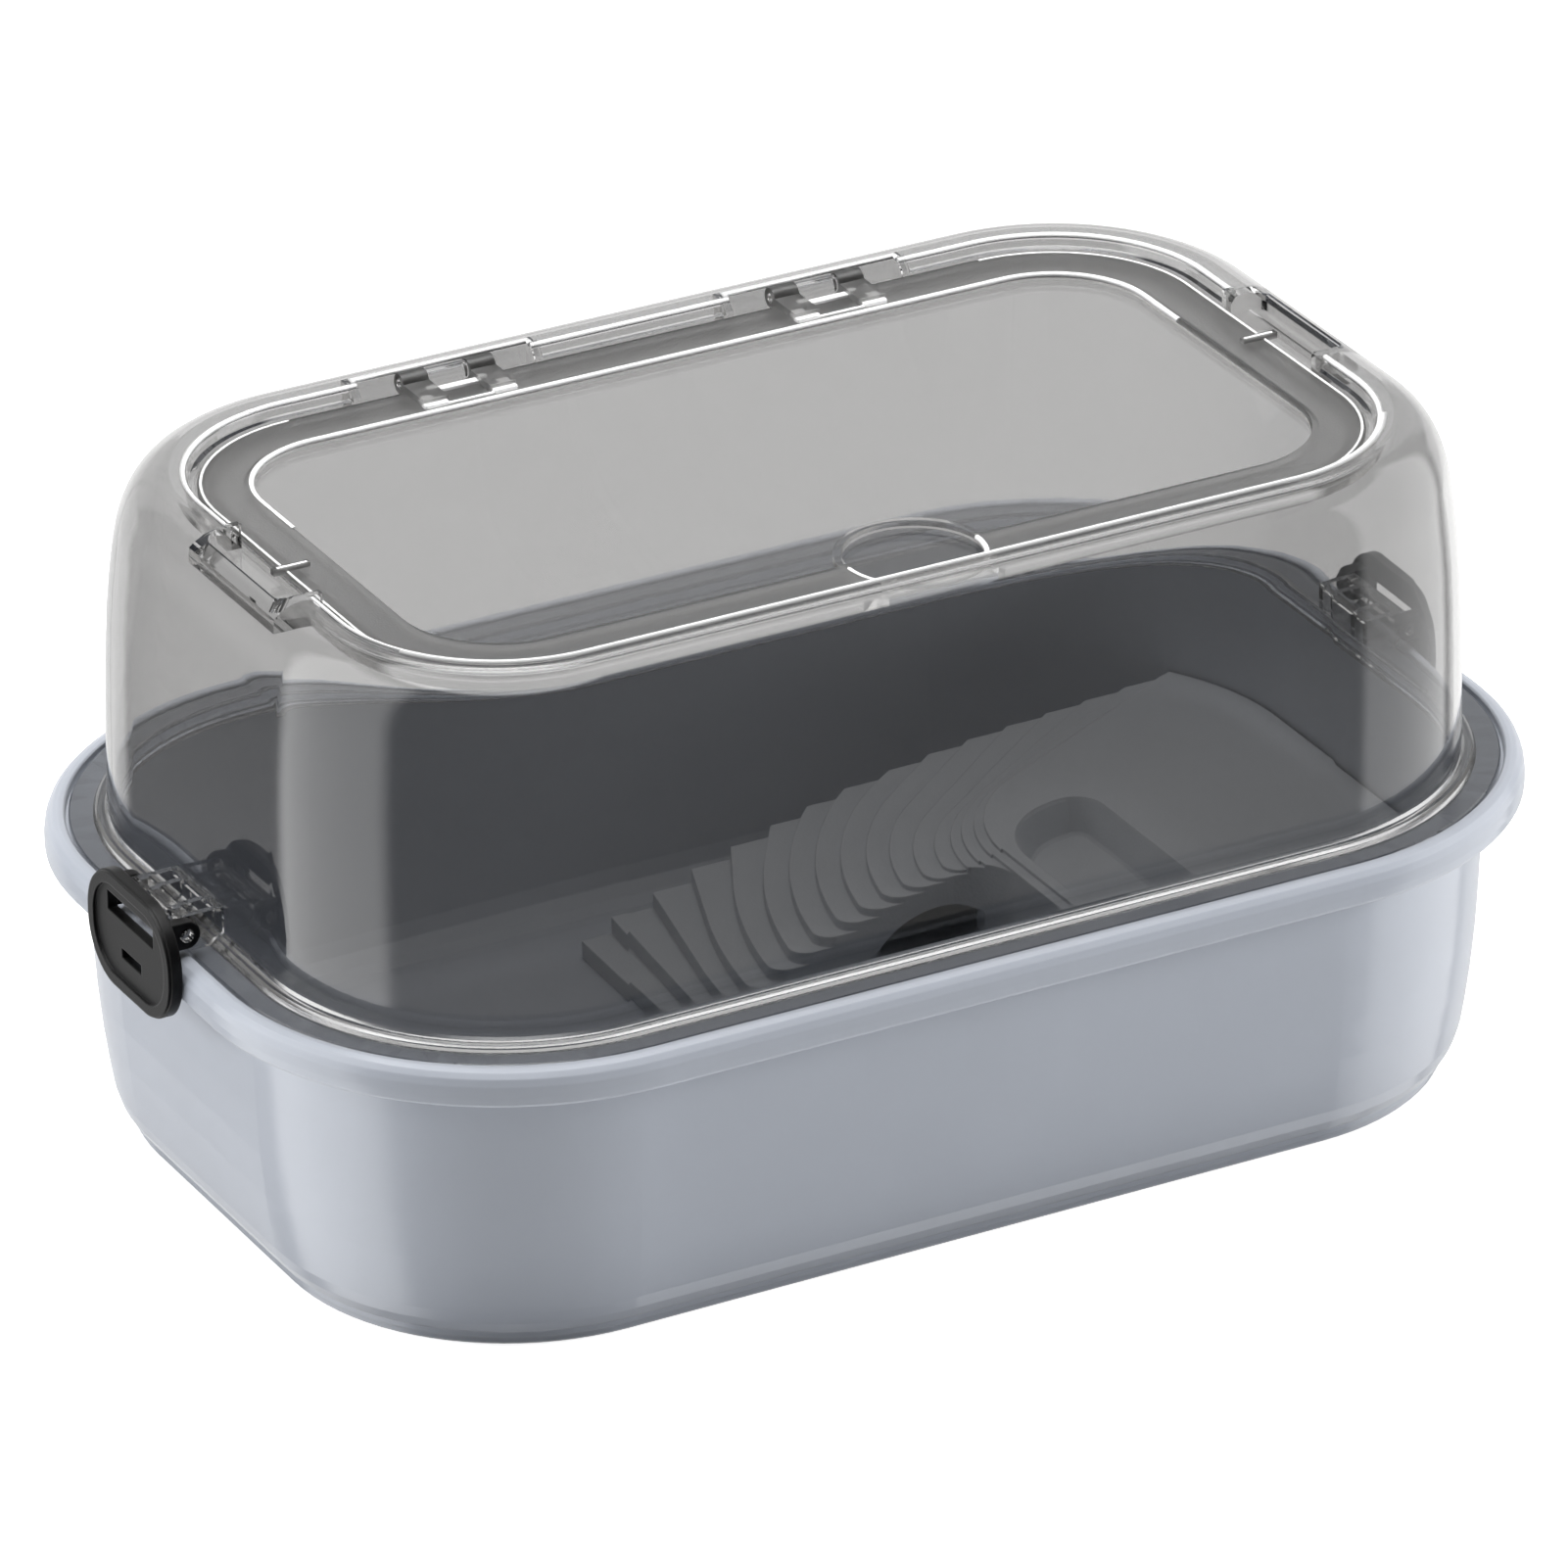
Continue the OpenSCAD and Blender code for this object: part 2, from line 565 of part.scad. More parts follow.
// Bowl with drafted walls, grown by g and starting at height z
module bowl_shape(g, z) {
    right = bowl_w - bowl_r;
    intersection() {
        filled([[bowl_r - 5 + g, z], [bowl_r - 4 + g, z + 0.8], [bowl_r - 0.6 + g, deck_z - 0.9],
            [bowl_r + g, deck_z - 0.2], [bowl_r + g, deck_z + 1]], z, deck_z + 1, 0.5, bowl_run / 2);
        translate([right - 40, 0, 0])
            filled([[4 + g, z], [4.8 + g, z + 0.8], [8.2 + g, deck_z - 0.9],
                [8.6 + g, deck_z - 0.2], [8.6 + g, deck_z + 1]], z, deck_z + 1,
                31.4, bowl_run / 2 + bowl_r - 8.6);
    }
}

basin();
cover();
hatch();
latch_left();
latch_right();
climbing_insert();
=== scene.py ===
"""Turtle tank with a smoky clear domed cover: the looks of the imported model.

The file is laid out as an add-on."""

import math

import bmesh
import bpy
from bpy.props import (
    FloatProperty,
    FloatVectorProperty,
    IntProperty,
    PointerProperty,
)
from mathutils import Matrix, Vector


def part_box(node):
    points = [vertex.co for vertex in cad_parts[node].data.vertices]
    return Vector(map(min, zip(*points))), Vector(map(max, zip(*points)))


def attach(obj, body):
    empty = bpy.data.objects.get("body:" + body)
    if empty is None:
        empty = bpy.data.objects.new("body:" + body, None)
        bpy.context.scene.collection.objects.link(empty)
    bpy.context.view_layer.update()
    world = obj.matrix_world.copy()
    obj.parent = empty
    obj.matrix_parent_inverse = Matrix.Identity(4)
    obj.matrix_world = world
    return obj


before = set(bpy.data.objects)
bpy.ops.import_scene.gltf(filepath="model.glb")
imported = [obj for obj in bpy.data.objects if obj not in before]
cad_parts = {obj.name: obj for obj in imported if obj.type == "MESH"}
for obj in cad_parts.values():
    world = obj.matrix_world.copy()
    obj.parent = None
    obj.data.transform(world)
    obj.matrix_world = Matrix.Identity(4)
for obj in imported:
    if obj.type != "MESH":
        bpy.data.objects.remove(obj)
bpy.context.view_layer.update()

bl_info = {
    "name": "Turtle tank",
    "version": (1, 0, 0),
    "blender": (4, 5, 0),
    "location": "View3D > Sidebar > Tank",
    "description": "Dresses the turtle tank: basin, clear cover, hatch, latches and insert",
    "category": "Object",
}

MM = 0.001

# Sizes of the outlines, the dome and the stair, in millimetres, as the model has them
CORE_X, CORE_Y = 104.5, 40.5
WALL_Z, SHOULDER_Z, SHOULDER_R = 92.0, 167.5, 50.5
HATCH_Z, HATCH_R, PANEL_R, DISH_R = 184.0, 42.3, 27.8, 18.8
CROWN_Z, EDGE_R, POCKET_HALF = 188.2, 43.1, 22.5
HINGE_X, BAY_HALF, BAY_D = 56.0, 26.0, 5.5
# Lean of the dome's normal as a share of a right angle, up the wall and round the shoulder
WALL_CURVE = (
    (0, 0.0), (0.19, 0.017), (0.355, 0.024), (0.525, 0.038), (0.69, 0.058), (0.835, 0.075),
    (1, 0.1),
)
ROUND_CURVE = (
    (0, 0.1), (0.134, 0.126), (0.33, 0.198), (0.447, 0.254), (0.547, 0.318), (0.632, 0.389),
    (0.714, 0.482), (0.796, 0.6), (0.878, 0.705), (0.96, 0.86), (1, 1),
)
STEPS = 16
FLOOR_Z, DECK_H, RISE_LESS, RISE_LEAST = 4.0, 43.0, 0.072, 0.18
STAIR_Y, INSERT_BACK = 8.0, 80.0
FIRST_X, DECK_X, FAN_STEP, CORNER = -22.3, 66.4, 12.4, 5.0
BACK_X, BACK_PULL, BACK_DECAY = 1.7, 4.3, 0.35
LEAN_MOST, CURVE_R, CURVE_LESS, CURVE_LEAST = 11, 240, 15.7, 42
SHARP_STEPS, SHARP_CORNER, CORNER_FROM, CORNER_PARTS, CURVE_PARTS = 3, 0.4, -80, 6, 24
FRONT_SHARE = (
    (0, 0), (0.2, 0.175), (0.333, 0.326), (0.467, 0.49), (0.6, 0.648), (0.733, 0.792),
    (0.8, 0.861), (0.867, 0.918), (0.933, 0.956), (1, 1),
)
# How far a nosing stops before the back wall, and its sink as a share of its radius
NOSING_SHORT, NOSING_SINK = 0.8, 0.92
# Corners of a path round the core, and points on each
QUARTERS = ((1, 1), (-1, 1), (-1, -1), (1, -1))
CORNER_POINTS = 25
# Depth and width of the lip under the crown, painted paler as a painted highlight, and depth of the
# hatch's frosted face
LIP_DEPTH, LIP_WIDTH, FACE_DOWN = 1.8, 6.5, 5.6
# Beads of the hatch, painted highlights: off the panel, where they end, in front of the panel, off
# the dish, its arc
PANEL_OFF, PANEL_END, DISH_Y, DISH_OFF, DISH_TURN, DISH_PARTS = 0.35, 22.0, 2.2, 0.3, 182, 32
# Height and ends of the ribs; how far in and down the end beads lie
RIB_UP, RIB_X, END_IN, END_DOWN = 0.6, (139.9, 148.6), 0.9, 0.25
# Sink and thickness of those beads as shares of the bead's radius
BEAD_SINK, END_BEAD, WIDE_LIP = 0.7, 0.6, 1.7
# Beads of the cover, painted highlights: down, outwards, past the pockets, round the bays, and what
# counts as equal
LIP_DOWN, LIP_OFF, POCKET_OFF, BAY_OFF, BAY_SIDE, SAME = 0.35, 3.0, 2.0, 0.3, 2.4, 0.01
# The wide bead along the front, a bold painted highlight: outwards, down, and its first and last
# point on the corners
WIDE_OFF, WIDE_DOWN, WIDE_FROM, WIDE_TO = 3.5, 0.15, 8, 17
BEAD_FACETS, WIDE_FACETS = 8, 10
# Blocks of one hinge, painted highlights, in metres: how far out along X, place along Y, size,
# corner radius
HINGE_ENDS = (
    (0.0102, 0.0712, (0.0072, 0.0030, 0.0013), 0.0007),
    (0.0114, 0.0738, (0.0036, 0.0030, 0.0010), 0.0006),
)
# Its strips, in metres: place along Y, size, corner radius
HINGE_STRIPS = (
    (0.0704, (0.0150, 0.0009, 0.0007), 0.0003),
    (0.0792, (0.0180, 0.0024, 0.0011), 0.0006),
)
HINGE_SINK = 0.0002
# Rings of a block: height as a share, and what is added to the corner radius as a share
BLOCK_RINGS = ((0.0, 0.0), (0.7, 0.0), (0.92, 0.12), (1.0, 0.4))
BLOCK_TURNS = 3


class TankFinish(bpy.types.PropertyGroup):
    """Colours and finishes of the mouldings"""

    basin_colour: FloatVectorProperty(
        name="Basin colour",
        description="Colour of the opaque basin",
        subtype="COLOR",
        size=3,
        min=0.0,
        max=1.0,
        default=(0.36, 0.385, 0.435),
    )
    insert_colour: FloatVectorProperty(
        name="Insert colour",
        description="Colour of the steps, deck and bowl",
        subtype="COLOR",
        size=3,
        min=0.0,
        max=1.0,
        default=(0.43, 0.453, 0.492),
    )
    latch_colour: FloatVectorProperty(
        name="Latch colour",
        description="Colour of the two end latches",
        subtype="COLOR",
        size=3,
        min=0.0,
        max=1.0,
        default=(0.0035, 0.0035, 0.0037),
    )
    smoke_colour: FloatVectorProperty(
        name="Smoke colour",
        description="Tint of the clear mouldings, for one wall",
        subtype="COLOR",
        size=3,
        min=0.0,
        max=1.0,
        default=(0.655, 0.652, 0.648),
    )
    grain_size: FloatProperty(
        name="Grain size",
        description="Size of the fine moulded grain",
        unit="LENGTH",
        min=0.0002,
        max=0.005,
        default=0.0009,
    )
    edge_radius: FloatProperty(
        name="Edge radius",
        description="Radius that the moulded edges seem to have",
        unit="LENGTH",
        min=0.0,
        max=0.002,
        default=0.0006,
    )


class TankHatch(bpy.types.PropertyGroup):
    """Sizes of the frosted border of the hatch"""

    border_in: FloatProperty(
        name="Inner edge of the border",
        description="Corner radius of the clear panel inside the frosted border",
        unit="LENGTH",
        min=0.02,
        max=0.04,
        default=0.0278,
    )
    dish_radius: FloatProperty(
        name="Dish radius",
        description="Radius of the clear finger dish",
        unit="LENGTH",
        min=0.01,
        max=0.03,
        default=0.0188,
    )
    bead_radius: FloatProperty(
        name="Bead radius",
        description="Radius of the polished bead round the clear panel",
        unit="LENGTH",
        min=0.0002,
        max=0.001,
        default=0.0008,
    )
    frost: FloatProperty(
        name="Frost",
        description="Roughness of the frosted border",
        subtype="FACTOR",
        min=0.0,
        max=1.0,
        default=0.42,
    )


class TankNosing(bpy.types.PropertyGroup):
    """Rounded nosings along the climbing steps"""

    count: IntProperty(
        name="Steps",
        description="Number of steps that get a nosing",
        min=1,
        max=STEPS,
        default=STEPS,
    )
    radius: FloatProperty(
        name="Nosing radius",
        description="Radius of the rounded edge of each step",
        unit="LENGTH",
        min=0.0002,
        max=0.0015,
        default=0.0006,
    )
    facets: IntProperty(
        name="Facets",
        description="Sides of each nosing",
        min=4,
        max=16,
        default=8,
    )
    variation: FloatProperty(
        name="Variation",
        description="How much the nosings differ in size, as a share",
        min=0.0,
        max=0.3,
        default=0.06,
    )
    seed: IntProperty(
        name="Seed",
        description="Seed of the small moulding differences between the steps",
        min=0,
        default=7,
    )


class TankStudio(bpy.types.PropertyGroup):
    """Camera and lamps"""

    lens: FloatProperty(
        name="Lens",
        description="Focal length of the camera in millimetres",
        subtype="NONE",
        min=50.0,
        max=400.0,
        default=290.4,
    )
    distance: FloatProperty(
        name="Camera distance",
        description="Distance from the camera to the point it looks at",
        unit="LENGTH",
        min=1.0,
        max=6.0,
        default=3.394,
    )
    azimuth: FloatProperty(
        name="Azimuth",
        description="Where the camera stands round the tank",
        subtype="ANGLE",
        default=math.radians(-28.196),
    )
    elevation: FloatProperty(
        name="Elevation",
        description="Height of the camera above the horizon",
        subtype="ANGLE",
        default=math.radians(26.48),
    )
    roll: FloatProperty(
        name="Roll",
        description="Turn of the camera about its own axis",
        subtype="ANGLE",
        default=math.radians(-0.62),
    )
    lamp_level: FloatProperty(
        name="Lamp level",
        description="Strength of all the soft lamps together",
        min=0.1,
        max=3.0,
        default=1.0,
    )


# Shader helpers
def socket(node, name, kind="inputs"):
    """The first socket of that name that is switched on."""
    for s in getattr(node, kind):
        if s.name == name and s.enabled:
            return s
    raise KeyError(f"{node.name} has no socket {name}")


def put(tree, node, name, value):
    """Sets an input of a node to a number or colour, or links it to an output."""
    target = socket(node, name) if isinstance(name, str) else node.inputs[name]
    if isinstance(value, bpy.types.NodeSocket):
        tree.links.new(value, target)
        return
    if isinstance(value, tuple) and len(value) == 3 and len(target.default_value) == 4:
        value = (*value, 1.0)
    target.default_value = value


def add(tree, kind, out=0, **values):
    """A new node with its settings (lower case) and inputs (i0, i1 ... or i_ and the name)."""
    node = tree.nodes.new(kind)
    inputs = {}
    for key, value in values.items():
        if key.startswith("i_"):
            inputs[key[2:].replace("_", " ")] = value
        elif key[0] == "i" and key[1:].isdigit():
            inputs[int(key[1:])] = value
        else:
            setattr(node, key, value)
    for key, value in inputs.items():
        put(tree, node, key, value)
    return node.outputs[out]


def math_node(tree, operation, a, b=0.0, clamp=False):
    """One Math node."""
    return add(tree, "ShaderNodeMath", operation=operation, use_clamp=clamp, i0=a, i1=b)


def mix_values(tree, factor, a, b):
    """One Mix node for numbers: a where the factor is 0, b where it is 1."""
    return add(tree, "ShaderNodeMix", data_type="FLOAT", i0=factor, i2=a, i3=b)


def mix_colours(tree, factor, a, b):
    """One Mix node for colours: a where the factor is 0, b where it is 1."""
    return add(tree, "ShaderNodeMix", out=2, data_type="RGBA", i0=factor, i6=a, i7=b)


def mix_shaders(tree, factor, a, b):
    """One Mix Shader node: a where the factor is 0, b where it is 1."""
    return add(tree, "ShaderNodeMixShader", i0=factor, i1=a, i2=b)


def ramp(tree, value, start, stop, low=0.0, high=1.0, **settings):
    """One Map Range node: low at start, high at stop."""
    return add(
        tree, "ShaderNodeMapRange", i_Value=value, i_From_Min=start, i_From_Max=stop,
        i_To_Min=low, i_To_Max=high, **settings,
    )


def new_group(name, numbers, outputs, kind="NodeSocketFloat"):
    """A shader node group with a Vector, named numbers and outputs, and its two ends."""
    tree = bpy.data.node_groups.new(name, "ShaderNodeTree")
    tree.interface.new_socket("Vector", in_out="INPUT", socket_type="NodeSocketVector")
    for label, default in numbers.items():
        s = tree.interface.new_socket(label, in_out="INPUT", socket_type="NodeSocketFloat")
        s.default_value = default
    for label in outputs:
        tree.interface.new_socket(label, in_out="OUTPUT", socket_type=kind)
    return tree, tree.nodes.new("NodeGroupInput").outputs, tree.nodes.new("NodeGroupOutput")


def texture(tree, given, size, kind="ShaderNodeTexNoise", **values):
    """A texture on the Vector of a group, with the scale that one of its sizes asks for."""
    scale = math_node(tree, "DIVIDE", 1.0, given[size])
    return add(tree, kind, i_Vector=given["Vector"], i_Scale=scale, **values)


def moulded_grain():
    """Fine spark-eroded grain and slow flow marks: a height, the flow's tone and the specks."""
    name = "Moulded grain"
    if name in bpy.data.node_groups:
        return bpy.data.node_groups[name]
    tree, given, end = new_group(
        name,
        {"Grain Size": 0.001, "Grain Depth": 1.0, "Flow Size": 0.06, "Flow Depth": 0.3},
        ("Height", "Tone", "Speckle"),
    )
    fine = texture(tree, given, "Grain Size", i_Detail=2.0, i_Roughness=0.6)
    cells = texture(tree, given, "Grain Size", "ShaderNodeTexVoronoi", i_Randomness=1.0)
    flow = texture(tree, given, "Flow Size", i_Detail=3.0, i_Distortion=0.6)
    grain = math_node(tree, "MULTIPLY", math_node(tree, "ADD", fine, cells), given["Grain Depth"])
    slow = math_node(tree, "MULTIPLY", flow, given["Flow Depth"])
    put(tree, end, "Height", math_node(tree, "ADD", grain, slow))
    put(tree, end, "Tone", flow)
    put(tree, end, "Speckle", fine)
    return tree


# Masks: how far an edge's normal leans, the noise of the wear, its least, and the slope for dust
# and for painted light on the tops
EDGE_LEAN, WEAR_NOISE, WEAR_LEAST, DUST_AND_TOP_LIGHT_SLOPE = (0.995, 0.85), (0.35, 0.7), 0.25, (0.3, 1.0)


def worn_edges():
    """A mask of the outer edges, from how far a rounded normal leans from the true one."""
    name = "Worn edges"
    if name in bpy.data.node_groups:
        return bpy.data.node_groups[name]
    tree, given, end = new_group(name, {"Width": 0.001, "Patch Size": 0.012}, ("Mask",))
    soft = add(tree, "ShaderNodeBevel", samples=4, i_Radius=given["Width"])
    true = add(tree, "ShaderNodeNewGeometry", out="Normal")
    lean = add(tree, "ShaderNodeVectorMath", out="Value", operation="DOT_PRODUCT", i0=soft, i1=true)
    patch = texture(tree, given, "Patch Size", i_Detail=4.0)
    worn = ramp(tree, patch, *WEAR_NOISE, WEAR_LEAST)
    edge = ramp(tree, lean, *EDGE_LEAN)
    put(tree, end, "Mask", math_node(tree, "MULTIPLY", edge, worn, clamp=True))
    return tree


def settled_dust_and_top_light():
    """A thin veil on faces that look up, broken up by noise: settled dust, and on the insert also
    painted light that makes the tops lighter.
    """
    name = "Settled dust"
    if name in bpy.data.node_groups:
        return bpy.data.node_groups[name]
    tree, given, end = new_group(name, {"Patch Size": 0.03, "Amount": 0.3}, ("Mask",))
    normal = add(tree, "ShaderNodeNewGeometry", out="Normal")
    up = add(tree, "ShaderNodeSeparateXYZ", out="Z", i_Vector=normal)
    patch = texture(tree, given, "Patch Size", i_Detail=5.0, i_Roughness=0.65)
    veil = math_node(tree, "MULTIPLY", ramp(tree, up, *DUST_AND_TOP_LIGHT_SLOPE), patch)
    put(tree, end, "Mask", math_node(tree, "MULTIPLY", veil, given["Amount"], clamp=True))
    return tree


def beyond(tree, place):
    """A point's X, Y and Z; how far it lies outside the core along X and along Y; and straight."""
    axes = add(tree, "ShaderNodeSeparateXYZ", i0=place).node.outputs
    over = []
    for axis, core in ((axes[0], CORE_X), (axes[1], CORE_Y)):
        far = math_node(tree, "SUBTRACT", math_node(tree, "ABSOLUTE", axis), core * MM)
        over.append(math_node(tree, "MAXIMUM", far, 0.0))
    squares = [math_node(tree, "MULTIPLY", v, v) for v in over]
    reach = math_node(tree, "SQRT", math_node(tree, "ADD", *squares))
    return axes, over, reach


def curve_through(tree, value, points):
    """One Float Curve node through the points."""
    given = add(tree, "ShaderNodeFloatCurve", i_Value=value)
    mapping = given.node.mapping
    curve = mapping.curves[0]
    curve.points[0].location = points[0]
    curve.points[-1].location = points[-1]
    for point in points[1:-1]:
        curve.points.new(*point)
    mapping.update()
    return given


# How near a face must be to the smooth dome, as a cosine, and the least reach, in metres
NEAR_DOME, LEAST_REACH = 0.965, 0.001


def dome_normal():
    """Normals of the wall and shoulder as one smooth round, where the faces are near it."""
    name = "Dome normal"
    if name in bpy.data.node_groups:
        return bpy.data.node_groups[name]
    tree, given, end = new_group(name, {}, ("Normal",), "NodeSocketVector")
    (x, y, z), over, reach = beyond(tree, given["Vector"])
    rise = math_node(tree, "SUBTRACT", z, SHOULDER_Z * MM)
    out = math_node(tree, "SUBTRACT", reach, SHOULDER_R * MM)
    turn = math_node(tree, "ARCTAN2", rise, out)
    round_share = math_node(tree, "DIVIDE", turn, math.pi / 2, clamp=True)
    round_part = curve_through(tree, round_share, ROUND_CURVE)
    wall_part = curve_through(tree, ramp(tree, z, WALL_Z * MM, SHOULDER_Z * MM), WALL_CURVE)
    upper = math_node(tree, "GREATER_THAN", rise, 0.0)
    lean = mix_values(tree, upper, wall_part, round_part)
    lean = math_node(tree, "MULTIPLY", lean, math.pi / 2)
    reach = math_node(tree, "MAXIMUM", reach, LEAST_REACH)
    level = math_node(tree, "DIVIDE", math_node(tree, "COSINE", lean), reach)
    parts = []
    for axis, far in ((x, over[0]), (y, over[1])):
        side = math_node(tree, "MULTIPLY", far, math_node(tree, "SIGN", axis))
        parts.append(math_node(tree, "MULTIPLY", side, level))
    parts.append(math_node(tree, "SINE", lean))
    smooth = add(tree, "ShaderNodeCombineXYZ", i0=parts[0], i1=parts[1], i2=parts[2])
    true = add(tree, "ShaderNodeNewGeometry", out="Normal")
    along = add(
        tree, "ShaderNodeVectorMath", out="Value", operation="DOT_PRODUCT", i0=smooth, i1=true,
    )
    near = math_node(tree, "GREATER_THAN", math_node(tree, "ABSOLUTE", along), NEAR_DOME)
    near = math_node(tree, "MULTIPLY", near, math_node(tree, "GREATER_THAN", z, WALL_Z * MM))
    sign = math_node(tree, "SIGN", along)
    turned = add(tree, "ShaderNodeVectorMath", operation="SCALE", i0=smooth, i_Scale=sign)
    chosen = add(tree, "ShaderNodeMix", out=1, data_type="VECTOR", i0=near, i4=true, i5=turned)
    put(tree, end, "Normal", chosen)
    return tree


def use_group(tree, group, **values):
    """Places a group, sets its inputs and gives its outputs."""
    node = tree.nodes.new("ShaderNodeGroup")
    node.node_tree = group
    for key, value in values.items():
        put(tree, node, key.replace("_", " "), value)
    return node.outputs


def fresh_material(name):
    """An empty material, its node tree and the place where its shader goes."""
    mat = bpy.data.materials.new(name)
    mat.use_nodes = True
    tree = mat.node_tree
    tree.nodes.clear()
    return mat, tree, tree.nodes.new("ShaderNodeOutputMaterial").inputs["Surface"]


def scaled(colour, by):
    """A colour times a number, up to white."""
    return tuple(min(1.0, c * by) for c in colour)


# Opaque plastic: tones of the flow marks, the wear's width and share
FLOW_DARK, FLOW_LIGHT, WEAR_WIDTH, WEAR_SHARE = 0.94, 1.05, 1.6, 0.5
# Its dust's colour and share (on the insert also painted light on faces that look up), the
# roughness that dust and specks add, and the grain's height
DUST_AND_TOP_LIGHT_COLOUR, DUST_AND_TOP_LIGHT_SHARE = (0.62, 0.61, 0.6), 0.5
DUST_ROUGH, SPECK_ROUGH, GRAIN_HEIGHT = 0.35, 0.06, 0.0001


def opaque_plastic(name, colour, roughness, grain, depth, edge, lighter, dust_and_top_light_by, **settings):
    """Moulded plastic with grain, flow marks, worn edges and a little dust, which on the insert
    also stands in for painted light on faces that look up.
    """
    mat, tree, surface = fresh_material(name)
    place = add(tree, "ShaderNodeTexCoord", out="Object")
    marks = use_group(
        tree, moulded_grain(), Vector=place, Grain_Size=grain, Grain_Depth=1.0,
        Flow_Size=0.07, Flow_Depth=0.35,
    )
    worn = use_group(
        tree, worn_edges(), Vector=place, Width=edge * WEAR_WIDTH, Patch_Size=0.014,
    )["Mask"]
    dust = use_group(
        tree, settled_dust_and_top_light(), Vector=place, Patch_Size=0.035, Amount=dust_and_top_light_by,
    )["Mask"]
    rubbed = tuple(min(1.0, c + lighter * (1.0 - c)) for c in colour)
    tone = mix_colours(tree, marks["Tone"], scaled(colour, FLOW_DARK), scaled(colour, FLOW_LIGHT))
    tone = mix_colours(tree, math_node(tree, "MULTIPLY", worn, WEAR_SHARE), tone, rubbed)
    # Dust colour on faces that look up; on the insert this is also painted light on the treads
    tone = mix_colours(tree, math_node(tree, "MULTIPLY", dust, DUST_AND_TOP_LIGHT_SHARE), tone, DUST_AND_TOP_LIGHT_COLOUR)
    rough = math_node(tree, "ADD", roughness, math_node(tree, "MULTIPLY", dust, DUST_ROUGH))
    specks = math_node(tree, "MULTIPLY", marks["Speckle"], SPECK_ROUGH)
    rough = math_node(tree, "ADD", rough, specks, clamp=True)
    bump = add(
        tree, "ShaderNodeBump", i_Strength=depth, i_Distance=GRAIN_HEIGHT, i_Height=marks["Height"],
        i_Normal=add(tree, "ShaderNodeBevel", samples=6, i_Radius=edge),
    )
    shader = add(
        tree, "ShaderNodeBsdfPrincipled", i_Base_Color=tone, i_Roughness=rough, i_Normal=bump,
        i_IOR=1.5, **settings,
    )
    tree.links.new(shader, surface)
    return mat


# Clear plastic: index, roughness, what dust adds to it, and the tones of the flow marks
CLEAR_IOR, CLEAR_ROUGH, CLEAR_DUST, CLEAR_FLOW = 1.49, 0.012, 0.15, (0.985, 1.01)
# Strength and height of its flow marks and of its frost, and how much darker the frost is
FLOW_BUMP, FLOW_HEIGHT, FROST_BUMP, FROST_HEIGHT, FROST_SHADE = 0.04, 0.0004, 0.35, 0.00012, 0.6
# How much darker one face of the clear plastic is for the lamps' light than for the eye
LAMP_SHADE = 2.0
# The thin flange and the lip are painted paler than the walls, as painted light on the flange and a
# painted highlight on the lip, and are a little rougher
PAINTED_LIGHT_TINT, PALE_ROUGH = (0.81, 0.81, 0.81), 0.1
# Rays that crossed, or were mirrored by, more faces than this go on straight
DEEP_RAYS, DEEP_MIRRORS = 6.5, 2.5


def lamp_tint(tint):
    """What one face lets through of the lamps' light."""
    return tuple(c ** LAMP_SHADE for c in tint)


